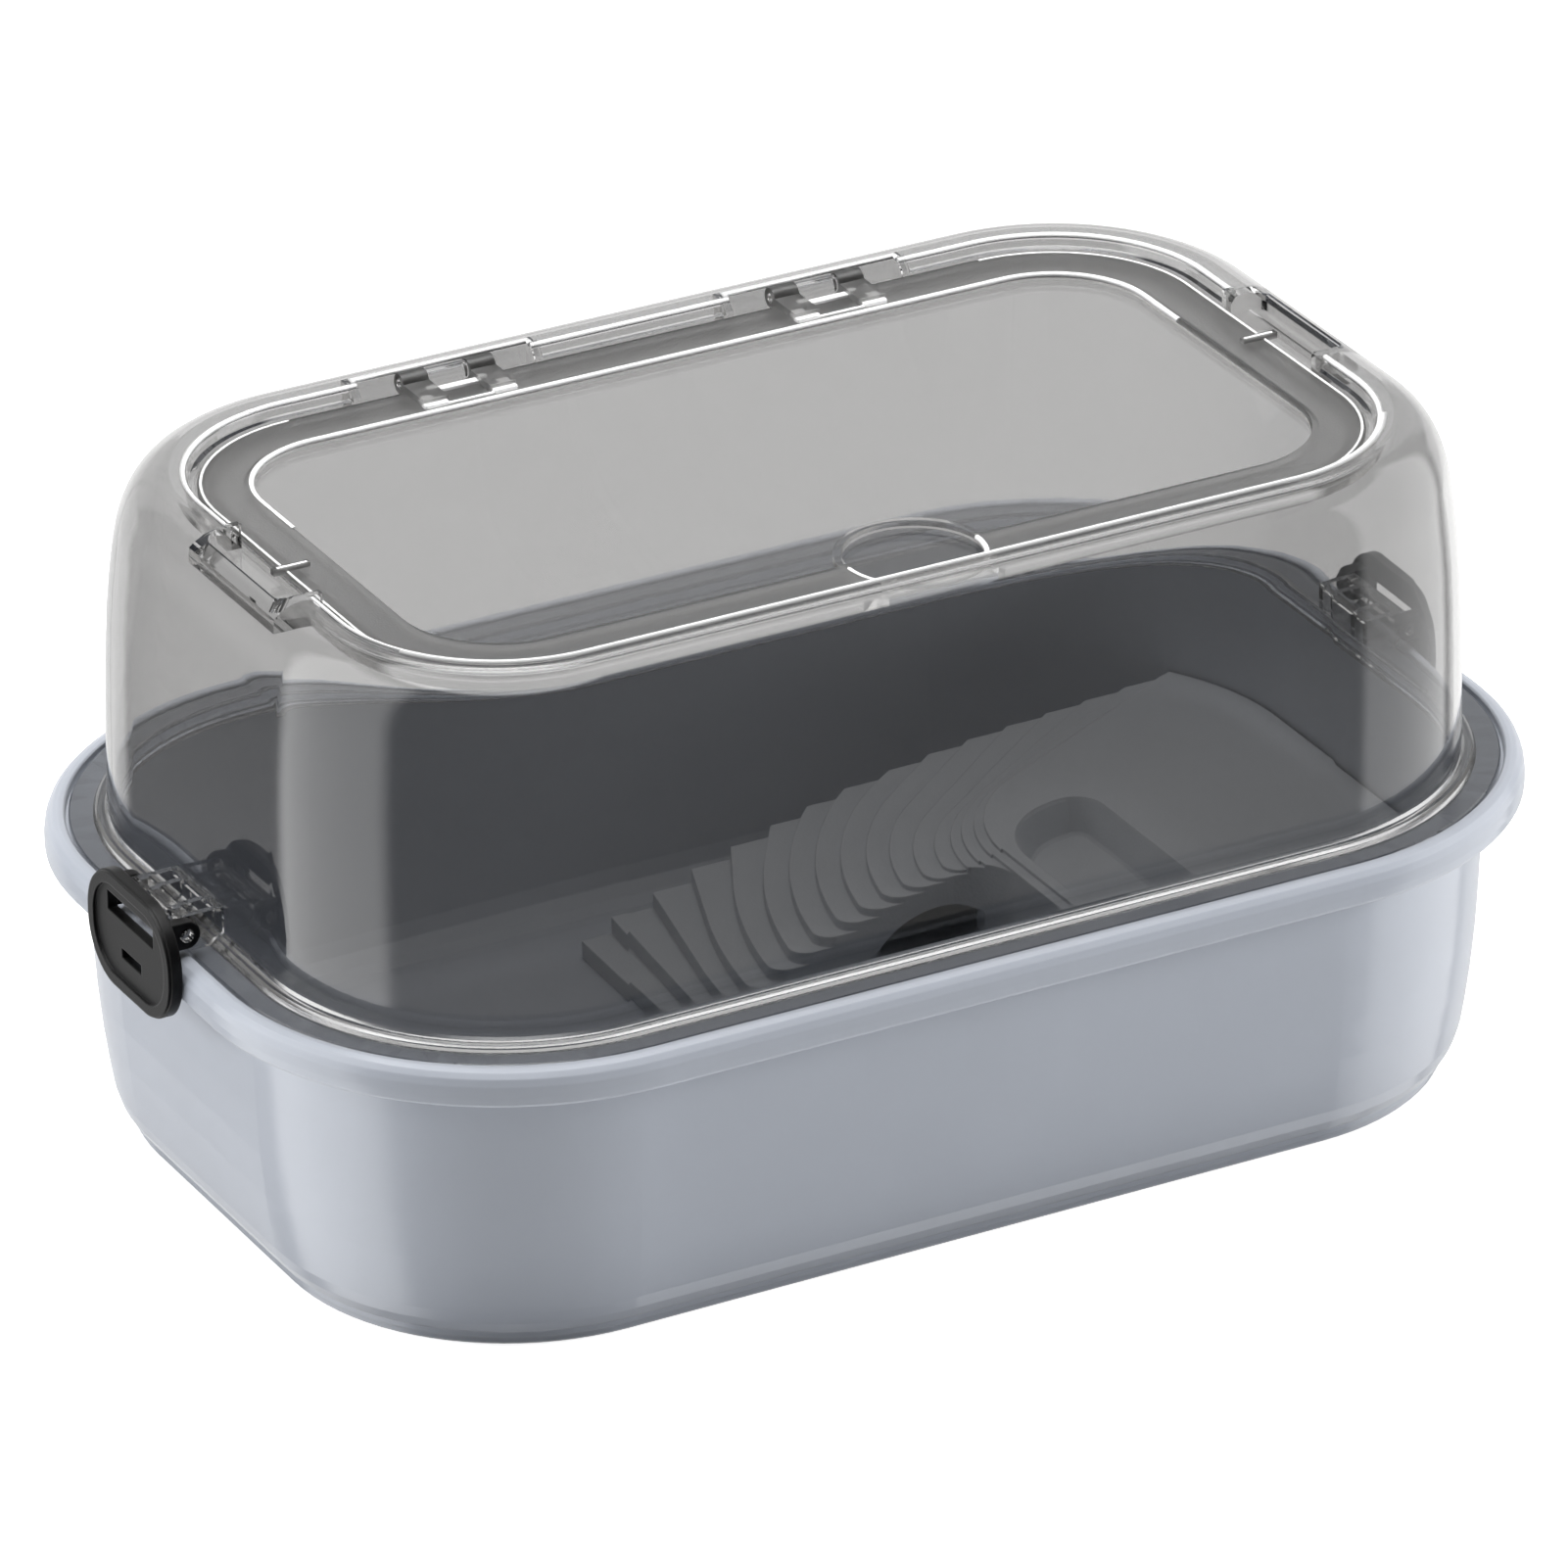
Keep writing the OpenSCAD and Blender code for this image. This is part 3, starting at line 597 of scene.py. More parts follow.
def clear_plastic(name, tint, frost=None, smooth=False, pale=None):
    """Smoky clear plastic: refracts what the eye sees, and lets the lamps' light through.

    frost and pale build the masks of the frosted faces and of the faces that are painted paler as
    painted light; smooth rounds the dome."""
    mat, tree, surface = fresh_material(name)
    place = add(tree, "ShaderNodeTexCoord", out="Object")
    marks = use_group(
        tree, moulded_grain(), Vector=place, Grain_Size=0.0007, Grain_Depth=0.0,
        Flow_Size=0.05, Flow_Depth=1.0,
    )
    dust = use_group(tree, settled_dust_and_top_light(), Vector=place, Patch_Size=0.02, Amount=0.10)["Mask"]
    rough = math_node(tree, "ADD", CLEAR_ROUGH, math_node(tree, "MULTIPLY", dust, CLEAR_DUST))
    normal = add(
        tree, "ShaderNodeBump", i_Strength=FLOW_BUMP, i_Distance=FLOW_HEIGHT,
        i_Height=marks["Height"],
    )
    if smooth:
        rounded = use_group(tree, dome_normal(), Vector=place)
        put(tree, normal.node, "Normal", rounded["Normal"])
    colour = mix_colours(tree, marks["Tone"], *(scaled(tint, by) for by in CLEAR_FLOW))
    if frost is not None:
        mask, frost_rough = frost(tree, place)
        specks = use_group(
            tree, moulded_grain(), Vector=place, Grain_Size=0.0006, Grain_Depth=1.0,
            Flow_Size=0.05, Flow_Depth=0.0,
        )
        frost_rough = math_node(tree, "MULTIPLY", mask, frost_rough)
        rough = math_node(tree, "ADD", rough, frost_rough, clamp=True)
        colour = mix_colours(tree, mask, colour, scaled(tint, FROST_SHADE))
        normal = add(
            tree, "ShaderNodeBump", i_Strength=math_node(tree, "MULTIPLY", mask, FROST_BUMP),
            i_Distance=FROST_HEIGHT, i_Height=specks["Height"], i_Normal=normal,
        )
    shade = lamp_tint(tint)
    # Painted light: the masked faces get a paler colour for the eye and let more of the lamps'
    # light through
    if pale is not None:
        mask = pale(tree, place)
        rough = math_node(tree, "ADD", rough, math_node(tree, "MULTIPLY", mask, PALE_ROUGH))
        colour = mix_colours(tree, mask, colour, PAINTED_LIGHT_TINT)
        shade = mix_colours(tree, mask, shade, lamp_tint(PAINTED_LIGHT_TINT))
    refracted = add(
        tree, "ShaderNodeBsdfPrincipled", i_Base_Color=colour, i_Roughness=rough, i_Normal=normal,
        i_IOR=CLEAR_IOR, i_Transmission_Weight=1.0,
    )
    path = tree.nodes.new("ShaderNodeLightPath").outputs
    deep = math_node(tree, "GREATER_THAN", path["Transmission Depth"], DEEP_RAYS)
    trapped = math_node(tree, "GREATER_THAN", path["Glossy Depth"], DEEP_MIRRORS)
    deep = math_node(tree, "MAXIMUM", deep, trapped)
    straight = add(tree, "ShaderNodeBsdfTransparent", i_Color=colour)
    eye_side = mix_shaders(tree, deep, refracted, straight)
    lamp_side = add(tree, "ShaderNodeBsdfTransparent", i_Color=shade)
    tree.links.new(mix_shaders(tree, path["Is Shadow Ray"], eye_side, lamp_side), surface)
    return mat


def painted_highlight_edge():
    """Clear plastic made nearly white for thin edges: a painted highlight in place of the light
    that such edges catch.
    """
    name = "Polished edge"
    if name in bpy.data.materials:
        return bpy.data.materials[name]
    mat, tree, surface = fresh_material(name)
    marks = use_group(
        tree, moulded_grain(), Vector=add(tree, "ShaderNodeTexCoord", out="Object"),
        Grain_Size=0.002, Grain_Depth=0.0, Flow_Size=0.03, Flow_Depth=1.0,
    )
    bump = add(
        tree, "ShaderNodeBump", i_Strength=0.05, i_Distance=FLOW_HEIGHT, i_Height=marks["Height"],
    )
    # Painted highlight: a near-white colour with little transmission
    shader = add(
        tree, "ShaderNodeBsdfPrincipled", i_Normal=bump, i_Roughness=0.18, i_IOR=CLEAR_IOR,
        i_Base_Color=mix_colours(tree, marks["Tone"], (0.9, 0.9, 0.9), (1.0, 1.0, 1.0)),
        i_Transmission_Weight=0.1,
    )
    tree.links.new(shader, surface)
    return mat


def dress(name, mat):
    """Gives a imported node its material."""
    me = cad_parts[name].data
    me.materials.clear()
    me.materials.append(mat)
    for polygon in me.polygons:
        polygon.material_index = 0


def share(t, table):
    """The value of a table of points at t, in straight runs."""
    for (a, b), (c, d) in zip(table, table[1:]):
        if t <= c:
            return b + (d - b) * (t - a) / (c - a)
    return table[-1][1]


def step_height(i):
    """Height of step i in millimetres; each step rises a little less than the one before."""
    rise = [max(1 - RISE_LESS * k, RISE_LEAST) for k in range(STEPS + 1)]
    return FLOOR_Z + DECK_H * sum(rise[:i]) / sum(rise)


def step_edge(i):
    """Plan of the edge of step i in millimetres, from the water side to the back wall."""
    front = FIRST_X + (DECK_X - FIRST_X) * share((i - 1) / (STEPS - 1), FRONT_SHARE)
    back = FIRST_X + BACK_X + FAN_STEP * (i - 1) - BACK_PULL * (1 - BACK_DECAY ** (i - 1))
    lean = math.radians(min(1 + 2 * (i - 1), LEAN_MOST))
    radius = max(CURVE_R - CURVE_LESS * i, CURVE_LEAST)
    start = (front + CORNER * (1 - math.cos(lean)), STAIR_Y + CORNER * (1 + math.sin(lean)))
    mid = (start[0] + radius * math.cos(lean), start[1] - radius * math.sin(lean))
    d = (back - start[0], INSERT_BACK - start[1])
    q = (
        d[0] * math.cos(lean) - d[1] * math.sin(lean) - radius,
        d[0] * math.sin(lean) + d[1] * math.cos(lean),
    )
    turn = lean + math.atan2(q[0], q[1]) + math.asin(min(radius / math.hypot(*q), 1))
    points = []
    if i <= STEPS - SHARP_STEPS:
        first = math.radians(CORNER_FROM)
        for k in range(CORNER_PARTS + 1):
            a = first + (lean - first) * k / CORNER_PARTS
            x, y = front + CORNER - CORNER * math.cos(a), STAIR_Y + CORNER + CORNER * math.sin(a)
            points.append((x, y))
    else:
        points.append((front, STAIR_Y + CORNER * SHARP_CORNER))
    for k in range(1, CURVE_PARTS + 1):
        a = lean + (turn - lean) * k / CURVE_PARTS
        points.append((mid[0] - radius * math.cos(a), mid[1] + radius * math.sin(a)))
    end = points[-1]
    if end[1] < INSERT_BACK:
        run = (INSERT_BACK - end[1]) / math.cos(turn)
        points.append((end[0] + run * math.sin(turn), INSERT_BACK))
    last = INSERT_BACK - NOSING_SHORT
    kept = [p for p in points if p[1] <= last]
    if len(kept) < len(points):
        a, b = kept[-1], points[len(kept)]
        t = (last - a[1]) / (b[1] - a[1])
        kept.append((a[0] + (b[0] - a[0]) * t, last))
    return kept


def sweep_tree(material):
    """Geometry Nodes that sweep a small round along each path, each a little different in size."""
    tree = bpy.data.node_groups.new("Swept round", "GeometryNodeTree")
    tree.is_modifier = True
    new_socket = tree.interface.new_socket
    new_socket("Geometry", in_out="INPUT", socket_type="NodeSocketGeometry")
    for label, kind, default in (
        ("Radius", "NodeSocketFloat", 0.0006),
        ("Facets", "NodeSocketInt", 8),
        ("Variation", "NodeSocketFloat", 0.06),
        ("Seed", "NodeSocketInt", 7),
    ):
        new_socket(label, in_out="INPUT", socket_type=kind).default_value = default
    new_socket("Geometry", in_out="OUTPUT", socket_type="NodeSocketGeometry")
    given = tree.nodes.new("NodeGroupInput").outputs
    curve = add(tree, "GeometryNodeMeshToCurve", i_Mesh=given["Geometry"])
    vary = add(
        tree, "FunctionNodeRandomValue", data_type="FLOAT", i_Max=1.0, i_Seed=given["Seed"],
        i_Min=math_node(tree, "SUBTRACT", 1.0, given["Variation"]),
        i_ID=add(tree, "GeometryNodeInputIndex"),
    )
    size = socket(vary.node, "Value", "outputs")
    curve = add(tree, "GeometryNodeSetCurveRadius", i_Curve=curve, i_Radius=size)
    ring = add(
        tree, "GeometryNodeCurvePrimitiveCircle", i_Resolution=given["Facets"],
        i_Radius=given["Radius"],
    )
    swept = add(
        tree, "GeometryNodeCurveToMesh", i_Curve=curve, i_Profile_Curve=ring, i_Fill_Caps=True,
    )
    if "Scale" in swept.node.inputs:
        put(tree, swept.node, "Scale", size)
    smooth = add(tree, "GeometryNodeSetShadeSmooth", i_Geometry=swept)
    real = add(tree, "GeometryNodeRealizeInstances", i0=smooth)
    painted = add(tree, "GeometryNodeSetMaterial", i_Geometry=real, i_Material=material)
    tree.links.new(painted, tree.nodes.new("NodeGroupOutput").inputs["Geometry"])
    return tree


def place_object(context, name, data):
    """A new object in the scene, at the origin."""
    made = bpy.data.objects.new(name, data)
    context.scene.collection.objects.link(made)
    return made


def sweep_paths(context, name, paths, material, radius, facets, seed=0, variation=0.0):
    """Sweeps a round along lists of points with Geometry Nodes and gives one plain mesh."""
    points, edges = [], []
    for path in paths:
        first = len(points)
        points += path
        edges += [(first + k, first + k + 1) for k in range(len(path) - 1)]
    me = bpy.data.meshes.new(name)
    me.from_pydata(points, edges, [])
    source = place_object(context, name + "_path", me)
    modifier = source.modifiers.new(name, "NODES")
    modifier.node_group = sweep_tree(material)
    values = {"Radius": radius, "Facets": facets, "Seed": seed, "Variation": variation}
    for item in modifier.node_group.interface.items_tree:
        if item.item_type == "SOCKET" and item.in_out == "INPUT" and item.name in values:
            modifier[item.identifier] = values[item.name]
    context.view_layer.update()
    graph = context.evaluated_depsgraph_get()
    made = bpy.data.meshes.new_from_object(source.evaluated_get(graph))
    source.modifiers.clear()
    bpy.data.objects.remove(source)
    made.name = name
    if not made.polygons:
        raise RuntimeError(f"{name} came out empty")
    return place_object(context, name, made)


def rounded_path(radius, z):
    """Points round the core at a radius in millimetres, corner by corner, in metres."""
    points = []
    for corner, (sx, sy) in enumerate(QUARTERS):
        for k in range(CORNER_POINTS):
            a = math.pi / 2 * (corner + k / (CORNER_POINTS - 1))
            x, y = sx * CORE_X + radius * math.cos(a), sy * CORE_Y + radius * math.sin(a)
            points.append((x * MM, y * MM, z))
    return points


def rounded_block(bm, centre, size, radius):
    """A block with rounded upright corners and a chamfered top, added to a bmesh (metres)."""
    (cx, cy, cz), (sx, sy, sz) = centre, size
    rings = []
    for level, inset in BLOCK_RINGS:
        back = radius * (1 + inset)
        ring = []
        for corner, (qx, qy) in enumerate(QUARTERS):
            for k in range(BLOCK_TURNS + 1):
                a = math.pi / 2 * (corner + k / BLOCK_TURNS)
                x = cx + qx * (sx / 2 - back) + radius * math.cos(a)
                y = cy + qy * (sy / 2 - back) + radius * math.sin(a)
                ring.append(bm.verts.new((x, y, cz + sz * level)))
        rings.append(ring)
    count = len(rings[0])
    for low, high in zip(rings, rings[1:]):
        for k in range(count):
            bm.faces.new((low[k], low[(k + 1) % count], high[(k + 1) % count], high[k]))
    bm.faces.new(rings[-1])
    bm.faces.new(rings[0][::-1])


class TANK_OT_basin(bpy.types.Operator):
    """Dress the basin in glossy pale grey plastic"""

    bl_idname = "tank.basin"
    bl_label = "Basin"

    def execute(self, context):
        finish = context.scene.tank_finish
        dress("basin", opaque_plastic(
            "Basin plastic", tuple(finish.basin_colour), 0.34, finish.grain_size * 0.5, 0.04,
            finish.edge_radius * 1.3, 0.3, 0.22, i_Coat_Weight=0.4, i_Coat_Roughness=0.1,
        ))
        return {"FINISHED"}


class TANK_OT_cover(bpy.types.Operator):
    """Dress the domed cover in smoky clear plastic, with a flange painted paler as painted light
    and a lip painted paler as a painted highlight
    """

    bl_idname = "tank.cover"
    bl_label = "Cover"

    def execute(self, context):
        # Mask of the faces painted paler: the flange as painted light, the lip under the crown as a
        # painted highlight
        def flange_and_lip(tree, place):
            (_, _, z), _, reach = beyond(tree, place)
            flange = ramp(tree, z, (WALL_Z - 0.5) * MM, (WALL_Z + 1.5) * MM, 1.0, 0.0)
            near = math_node(tree, "LESS_THAN", reach, (EDGE_R + LIP_WIDTH) * MM)
            high = math_node(tree, "GREATER_THAN", z, (CROWN_Z - LIP_DEPTH) * MM)
            return math_node(tree, "MAXIMUM", flange, math_node(tree, "MULTIPLY", high, near))

        smoke = tuple(context.scene.tank_finish.smoke_colour)
        mat = clear_plastic("Smoky clear plastic", smoke, smooth=True, pale=flange_and_lip)
        dress("cover", mat)
        return {"FINISHED"}


class TANK_OT_hatch(bpy.types.Operator):
    """Dress the hatch: clear panel and dish inside a frosted border"""

    bl_idname = "tank.hatch"
    bl_label = "Hatch"

    def execute(self, context):
        sizes = context.scene.tank_hatch
        face_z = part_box("hatch")[1].z - FACE_DOWN * MM

        def frost(tree, place):
            (x, y, z), _, reach = beyond(tree, place)
            outside = math_node(tree, "GREATER_THAN", reach, sizes.border_in)
            y = math_node(tree, "SUBTRACT", y, -CORE_Y * MM - sizes.border_in - DISH_Y * MM)
            squares = [math_node(tree, "MULTIPLY", v, v) for v in (x, y)]
            from_dish = math_node(tree, "SQRT", math_node(tree, "ADD", *squares))
            off_dish = math_node(tree, "GREATER_THAN", from_dish, sizes.dish_radius)
            upper = math_node(tree, "GREATER_THAN", z, face_z)
            border = math_node(tree, "MULTIPLY", outside, off_dish)
            return math_node(tree, "MULTIPLY", border, upper), sizes.frost

        smoke = tuple(context.scene.tank_finish.smoke_colour)
        dress("hatch", clear_plastic("Hatch plastic", smoke, frost))
        return {"FINISHED"}


class TANK_OT_latches(bpy.types.Operator):
    """Dress the two end latches in black satin plastic"""

    bl_idname = "tank.latches"
    bl_label = "Latches"

    def execute(self, context):
        finish = context.scene.tank_finish
        mat = opaque_plastic(
            "Latch plastic", tuple(finish.latch_colour), 0.34, finish.grain_size * 0.6, 0.12,
            finish.edge_radius * 1.2, 0.03, 0.02, i_Specular_IOR_Level=0.2,
        )
        dress("latch_left", mat)
        dress("latch_right", mat)
        return {"FINISHED"}


class TANK_OT_insert(bpy.types.Operator):
    """Dress the climbing insert in grained grey plastic, with treads painted lighter than the
    risers
    """

    bl_idname = "tank.climbing_insert"
    bl_label = "Climbing insert"

    def execute(self, context):
        finish = context.scene.tank_finish
        # Its dust veil is also painted light: it makes the treads lighter than the risers, as if
        # lit from above
        dress("climbing_insert", opaque_plastic(
            "Insert plastic", tuple(finish.insert_colour), 0.46, finish.grain_size, 0.35,
            finish.edge_radius, 0.2, 0.3, i_Specular_IOR_Level=0.45,
        ))
        return {"FINISHED"}


class TANK_OT_nosings(bpy.types.Operator):
    """Sweep a rounded nosing along each climbing step with Geometry Nodes"""

    bl_idname = "tank.nosings"
    bl_label = "Step nosings"

    def execute(self, context):
        sizes = context.scene.tank_nosing
        r = sizes.radius
        paths = []
        for i in range(1, sizes.count + 1):
            z = step_height(i) * MM - r * NOSING_SINK
            path = step_edge(i)
            points = []
            for k, (x, y) in enumerate(path):
                a, b = path[max(k - 1, 0)], path[min(k + 1, len(path) - 1)]
                d = Vector((b[0] - a[0], b[1] - a[1])).normalized()
                points.append((x * MM + d.y * r * NOSING_SINK, y * MM - d.x * r * NOSING_SINK, z))
            paths.append(points)
        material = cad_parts["climbing_insert"].data.materials[0]
        piece = sweep_paths(
            context, "step_nosings", paths, material, r, sizes.facets, sizes.seed, sizes.variation,
        )
        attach(piece, "tank")
        return {"FINISHED"}


class TANK_OT_panel_bead(bpy.types.Operator):
    """Sweep the hatch's beads in near-white, as painted highlights: back of the panel, front of the
    dish, two ribs and the two ends
    """

    bl_idname = "tank.panel_bead"
    bl_label = "Hatch beads"

    def execute(self, context):
        r = context.scene.tank_hatch.bead_radius
        z = HATCH_Z * MM - r * BEAD_SINK
        side = (CORE_X + PANEL_R + PANEL_OFF) * MM
        back = rounded_path(PANEL_R + PANEL_OFF, z)[:2 * CORNER_POINTS]
        back = [(side, PANEL_END * MM, z)] + back + [(-side, PANEL_END * MM, z)]
        dish_y, reach = -CORE_Y - PANEL_R - DISH_Y, DISH_R + DISH_OFF
        smile = []
        for k in range(DISH_PARTS + 1):
            a = math.radians(180 + DISH_TURN * k / DISH_PARTS)
            x, y = reach * math.cos(a), dish_y + reach * math.sin(a)
            smile.append((x * MM, y * MM, z))
        rib_z = (HATCH_Z + RIB_UP) * MM
        ribs = [[(s * x * MM, 0.0, rib_z) for x in RIB_X] for s in (-1, 1)]
        mat = painted_highlight_edge()
        piece = sweep_paths(context, "panel_bead", [back, smile] + ribs, mat, r, BEAD_FACETS)
        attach(piece, "hatch")
        loop = rounded_path(HATCH_R - END_IN, (HATCH_Z - END_DOWN) * MM)
        left, right = loop[CORNER_POINTS:3 * CORNER_POINTS], loop[3 * CORNER_POINTS:]
        ends = [left, right + loop[:CORNER_POINTS]]
        edge = sweep_paths(context, "hatch_edge_bead", ends, mat, r * END_BEAD, BEAD_FACETS)
        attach(edge, "hatch")
        return {"FINISHED"}


class TANK_OT_lip_bead(bpy.types.Operator):
    """Sweep near-white beads, painted highlights, round the cover's opening and hinge bays, wider
    along the front
    """

    bl_idname = "tank.lip_bead"
    bl_label = "Lip beads"

    def execute(self, context):
        r = context.scene.tank_hatch.bead_radius
        z = CROWN_Z * MM - LIP_DOWN * MM - r
        top = CROWN_Z * MM - r
        back = CORE_Y + EDGE_R + BAY_D + BAY_OFF
        keep = [
            p for p in rounded_path(EDGE_R + LIP_OFF, z)
            if abs(p[1]) > (POCKET_HALF + POCKET_OFF) * MM or abs(p[0]) < CORE_X * MM
        ]
        far = (CORE_X + EDGE_R + LIP_OFF) * MM
        side_y = (POCKET_HALF + POCKET_OFF) * MM
        line_y = (CORE_Y + EDGE_R + LIP_OFF) * MM
        # the front half, from pocket to pocket
        front = [p for p in keep if p[1] < 0]
        paths = [[(-far, -side_y, z)] + front + [(far, -side_y, z)]]
        # the two back corners, each with its hinge bay, and the run between the bays
        for sign in (-1, 1):
            corner = [
                p for p in keep
                if p[1] > 0 and p[0] * sign > 0 and abs(p[0]) >= (CORE_X - SAME) * MM
            ]
            corner.sort(key=lambda p: p[1])
            end = ((HINGE_X + BAY_HALF) * MM * sign, line_y, z)
            paths.append([(far * sign, side_y, z)] + corner + [end])
            paths.append([
                ((HINGE_X + s * (BAY_HALF + BAY_OFF)) * sign * MM, y * MM, top)
                for s, y in ((1, back - BAY_SIDE), (1, back), (-1, back), (-1, back - BAY_SIDE))
            ])
        inner = (HINGE_X - BAY_HALF) * MM
        paths.append([(-inner, line_y, z), (inner, line_y, z)])
        mat = painted_highlight_edge()
        piece = sweep_paths(context, "lip_bead", paths, mat, r, BEAD_FACETS)
        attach(piece, "tank")
        wide = r * WIDE_LIP
        bold = rounded_path(EDGE_R + WIDE_OFF, CROWN_Z * MM - WIDE_DOWN * MM - wide)
        bold = bold[2 * CORNER_POINTS + WIDE_FROM:3 * CORNER_POINTS + WIDE_TO]
        front_lip = sweep_paths(context, "front_lip_bead", [bold], mat, wide, WIDE_FACETS)
        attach(front_lip, "tank")
        return {"FINISHED"}


class TANK_OT_hinge_blocks(bpy.types.Operator):
    """Build the small near-white blocks and strips, painted highlights, on the border of the hatch
    at each hinge
    """

    bl_idname = "tank.hinge_blocks"
    bl_label = "Hinge blocks"

    def execute(self, context):
        bm = bmesh.new()
        z = HATCH_Z * MM - HINGE_SINK
        for side in (-1, 1):
            middle = side * HINGE_X * MM
            for s in (-1, 1):
                for out, y, size, radius in HINGE_ENDS:
                    rounded_block(bm, (middle + s * out, y, z), size, radius)
            for y, size, radius in HINGE_STRIPS:
                rounded_block(bm, (middle, y, z), size, radius)
        me = bpy.data.meshes.new("hinge_blocks")
        bm.to_mesh(me)
        bm.free()
        me.materials.append(painted_highlight_edge())
        piece = place_object(context, "hinge_blocks", me)
        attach(piece, "hatch")
        return {"FINISHED"}


# Strength of the surroundings: for diffuse light outside and inside the cover, and as mirrored
OUTER_FILL, INNER_FILL, MIRROR_DARK = 0.07, 0.28, 0.05
# Mirrored soft boxes: level, azimuth and elevation in degrees (front 0, left 90), softness
MIRROR_BOXES = (
    (2.7, 80, 141, -60, 50, 6.0),
    (1.9, -105, -45, -60, 40, 4.0),
    (1.0, -181, -112, -91, 4, 4.0),
    (1.0, 158, 181, -91, 4, 4.0),
    (0.65, -181, -120, 4, 50, 4.0),
    (0.65, 165, 181, 4, 50, 4.0),
    (6.0, -181, 181, 60, 91, 3.0),
)
# Soft lamps: name, place and size in metres, and power in watts
LAMPS = (
    ("Top lamp", (0.0, 0.2, 2.2), (1.2, 1.2), 66),
    ("Left lamp", (-1.8, 0.7, 0.7), (1.2, 1.0), 24),
    ("Right lamp", (1.7, -1.06, 0.7), (1.0, 1.0), 28),
)
# Points that the lamps and the camera look at
LAMP_TARGET, CAMERA_TARGET = Vector((0, 0, 0.08)), Vector((0.01156, 0.02329, 0.0736))
# Half the side of the floor and how far it lies under the tank, in metres, its tone and its glow
FLOOR_HALF, FLOOR_DROP, FLOOR_TONE, FLOOR_GLOW = 9.0, 0.0004, 0.88, 0.8


def soft_lamp(context, name, place, size, power):
    """One rectangular soft lamp that looks at the tank and isn't mirrored in it."""
    data = bpy.data.lights.new(name, "AREA")
    data.shape = "RECTANGLE"
    data.size, data.size_y = size
    data.energy = power
    lamp = place_object(context, name, data)
    lamp.location = place
    lamp.rotation_mode = "QUATERNION"
    lamp.rotation_quaternion = (LAMP_TARGET - Vector(place)).to_track_quat("-Z", "Y")
    lamp.visible_glossy = False
    lamp.visible_transmission = False


def seen_rays(tree):
    """1 for rays from the eye, straight or through glass; then the gloss and the glass rays."""
    path = tree.nodes.new("ShaderNodeLightPath").outputs
    glass = path["Is Transmission Ray"]
    either = math_node(tree, "MAXIMUM", path["Is Camera Ray"], glass)
    direct = math_node(tree, "LESS_THAN", path["Diffuse Depth"], 0.5)
    return math_node(tree, "MULTIPLY", either, direct), path["Is Glossy Ray"], glass


def band(tree, value, *span):
    """1 between two angles and 0 outside, with soft edges; low, high and soft in degrees."""
    low, high, soft = (math.radians(v) for v in span)
    up = ramp(tree, value, low - soft, low + soft, interpolation_type="SMOOTHSTEP")
    down = ramp(tree, value, high - soft, high + soft, 1.0, 0.0, interpolation_type="SMOOTHSTEP")
    return math_node(tree, "MULTIPLY", up, down)


def soft_boxes(tree):
    """What glossy faces mirror: soft boxes round the table, each a span of two angles."""
    ray = add(tree, "ShaderNodeTexCoord", out="Generated")
    x, y, z = add(tree, "ShaderNodeSeparateXYZ", i0=ray).node.outputs
    x, y = (math_node(tree, "MULTIPLY", v, -1.0) for v in (x, y))
    azimuth = math_node(tree, "ARCTAN2", x, y)
    elevation = math_node(tree, "ARCSINE", z)
    total = MIRROR_DARK
    for level, left, right, low, high, soft in MIRROR_BOXES:
        across = band(tree, azimuth, left, right, soft)
        upright = band(tree, elevation, low, high, soft)
        box = math_node(tree, "MULTIPLY", math_node(tree, "MULTIPLY", across, upright), level)
        total = math_node(tree, "ADD", total, box)
    return total


def studio_world(scene):
    """White for the eye, soft boxes for mirrored rays and a weak fill for all others."""
    world = bpy.data.worlds.new("Studio world")
    world.use_nodes = True
    tree = world.node_tree
    tree.nodes.clear()
    seen, glossy, glass = seen_rays(tree)
    fill = mix_values(tree, glass, OUTER_FILL, INNER_FILL)
    mirrored = math_node(tree, "SUBTRACT", glossy, glass, clamp=True)
    other = mix_values(tree, mirrored, fill, soft_boxes(tree))
    level = mix_values(tree, seen, other, 1.0)
    white = add(tree, "ShaderNodeBackground", i_Color=(1.0, 1.0, 1.0), i_Strength=level)
    tree.links.new(white, tree.nodes.new("ShaderNodeOutputWorld").inputs["Surface"])
    scene.world = world


def studio_floor(context):
    """A pale floor that glossy faces don't mirror."""
    me = bpy.data.meshes.new("floor")
    s, z = FLOOR_HALF, -FLOOR_DROP
    me.from_pydata([(-s, -s, z), (s, -s, z), (s, s, z), (-s, s, z)], [], [(0, 1, 2, 3)])
    floor = place_object(context, "floor", me)
    mat, tree, surface = fresh_material("Studio floor")
    seen, glossy, _ = seen_rays(tree)
    paint = add(
        tree, "ShaderNodeBsdfPrincipled", i_Base_Color=(FLOOR_TONE, FLOOR_TONE, FLOOR_TONE),
        i_Roughness=0.9, i_Specular_IOR_Level=0.0, i_Emission_Color=(1.0, 1.0, 1.0),
        i_Emission_Strength=math_node(tree, "MULTIPLY", seen, FLOOR_GLOW),
    )
    unseen = add(tree, "ShaderNodeBsdfTransparent")
    tree.links.new(mix_shaders(tree, glossy, paint, unseen), surface)
    me.materials.append(mat)


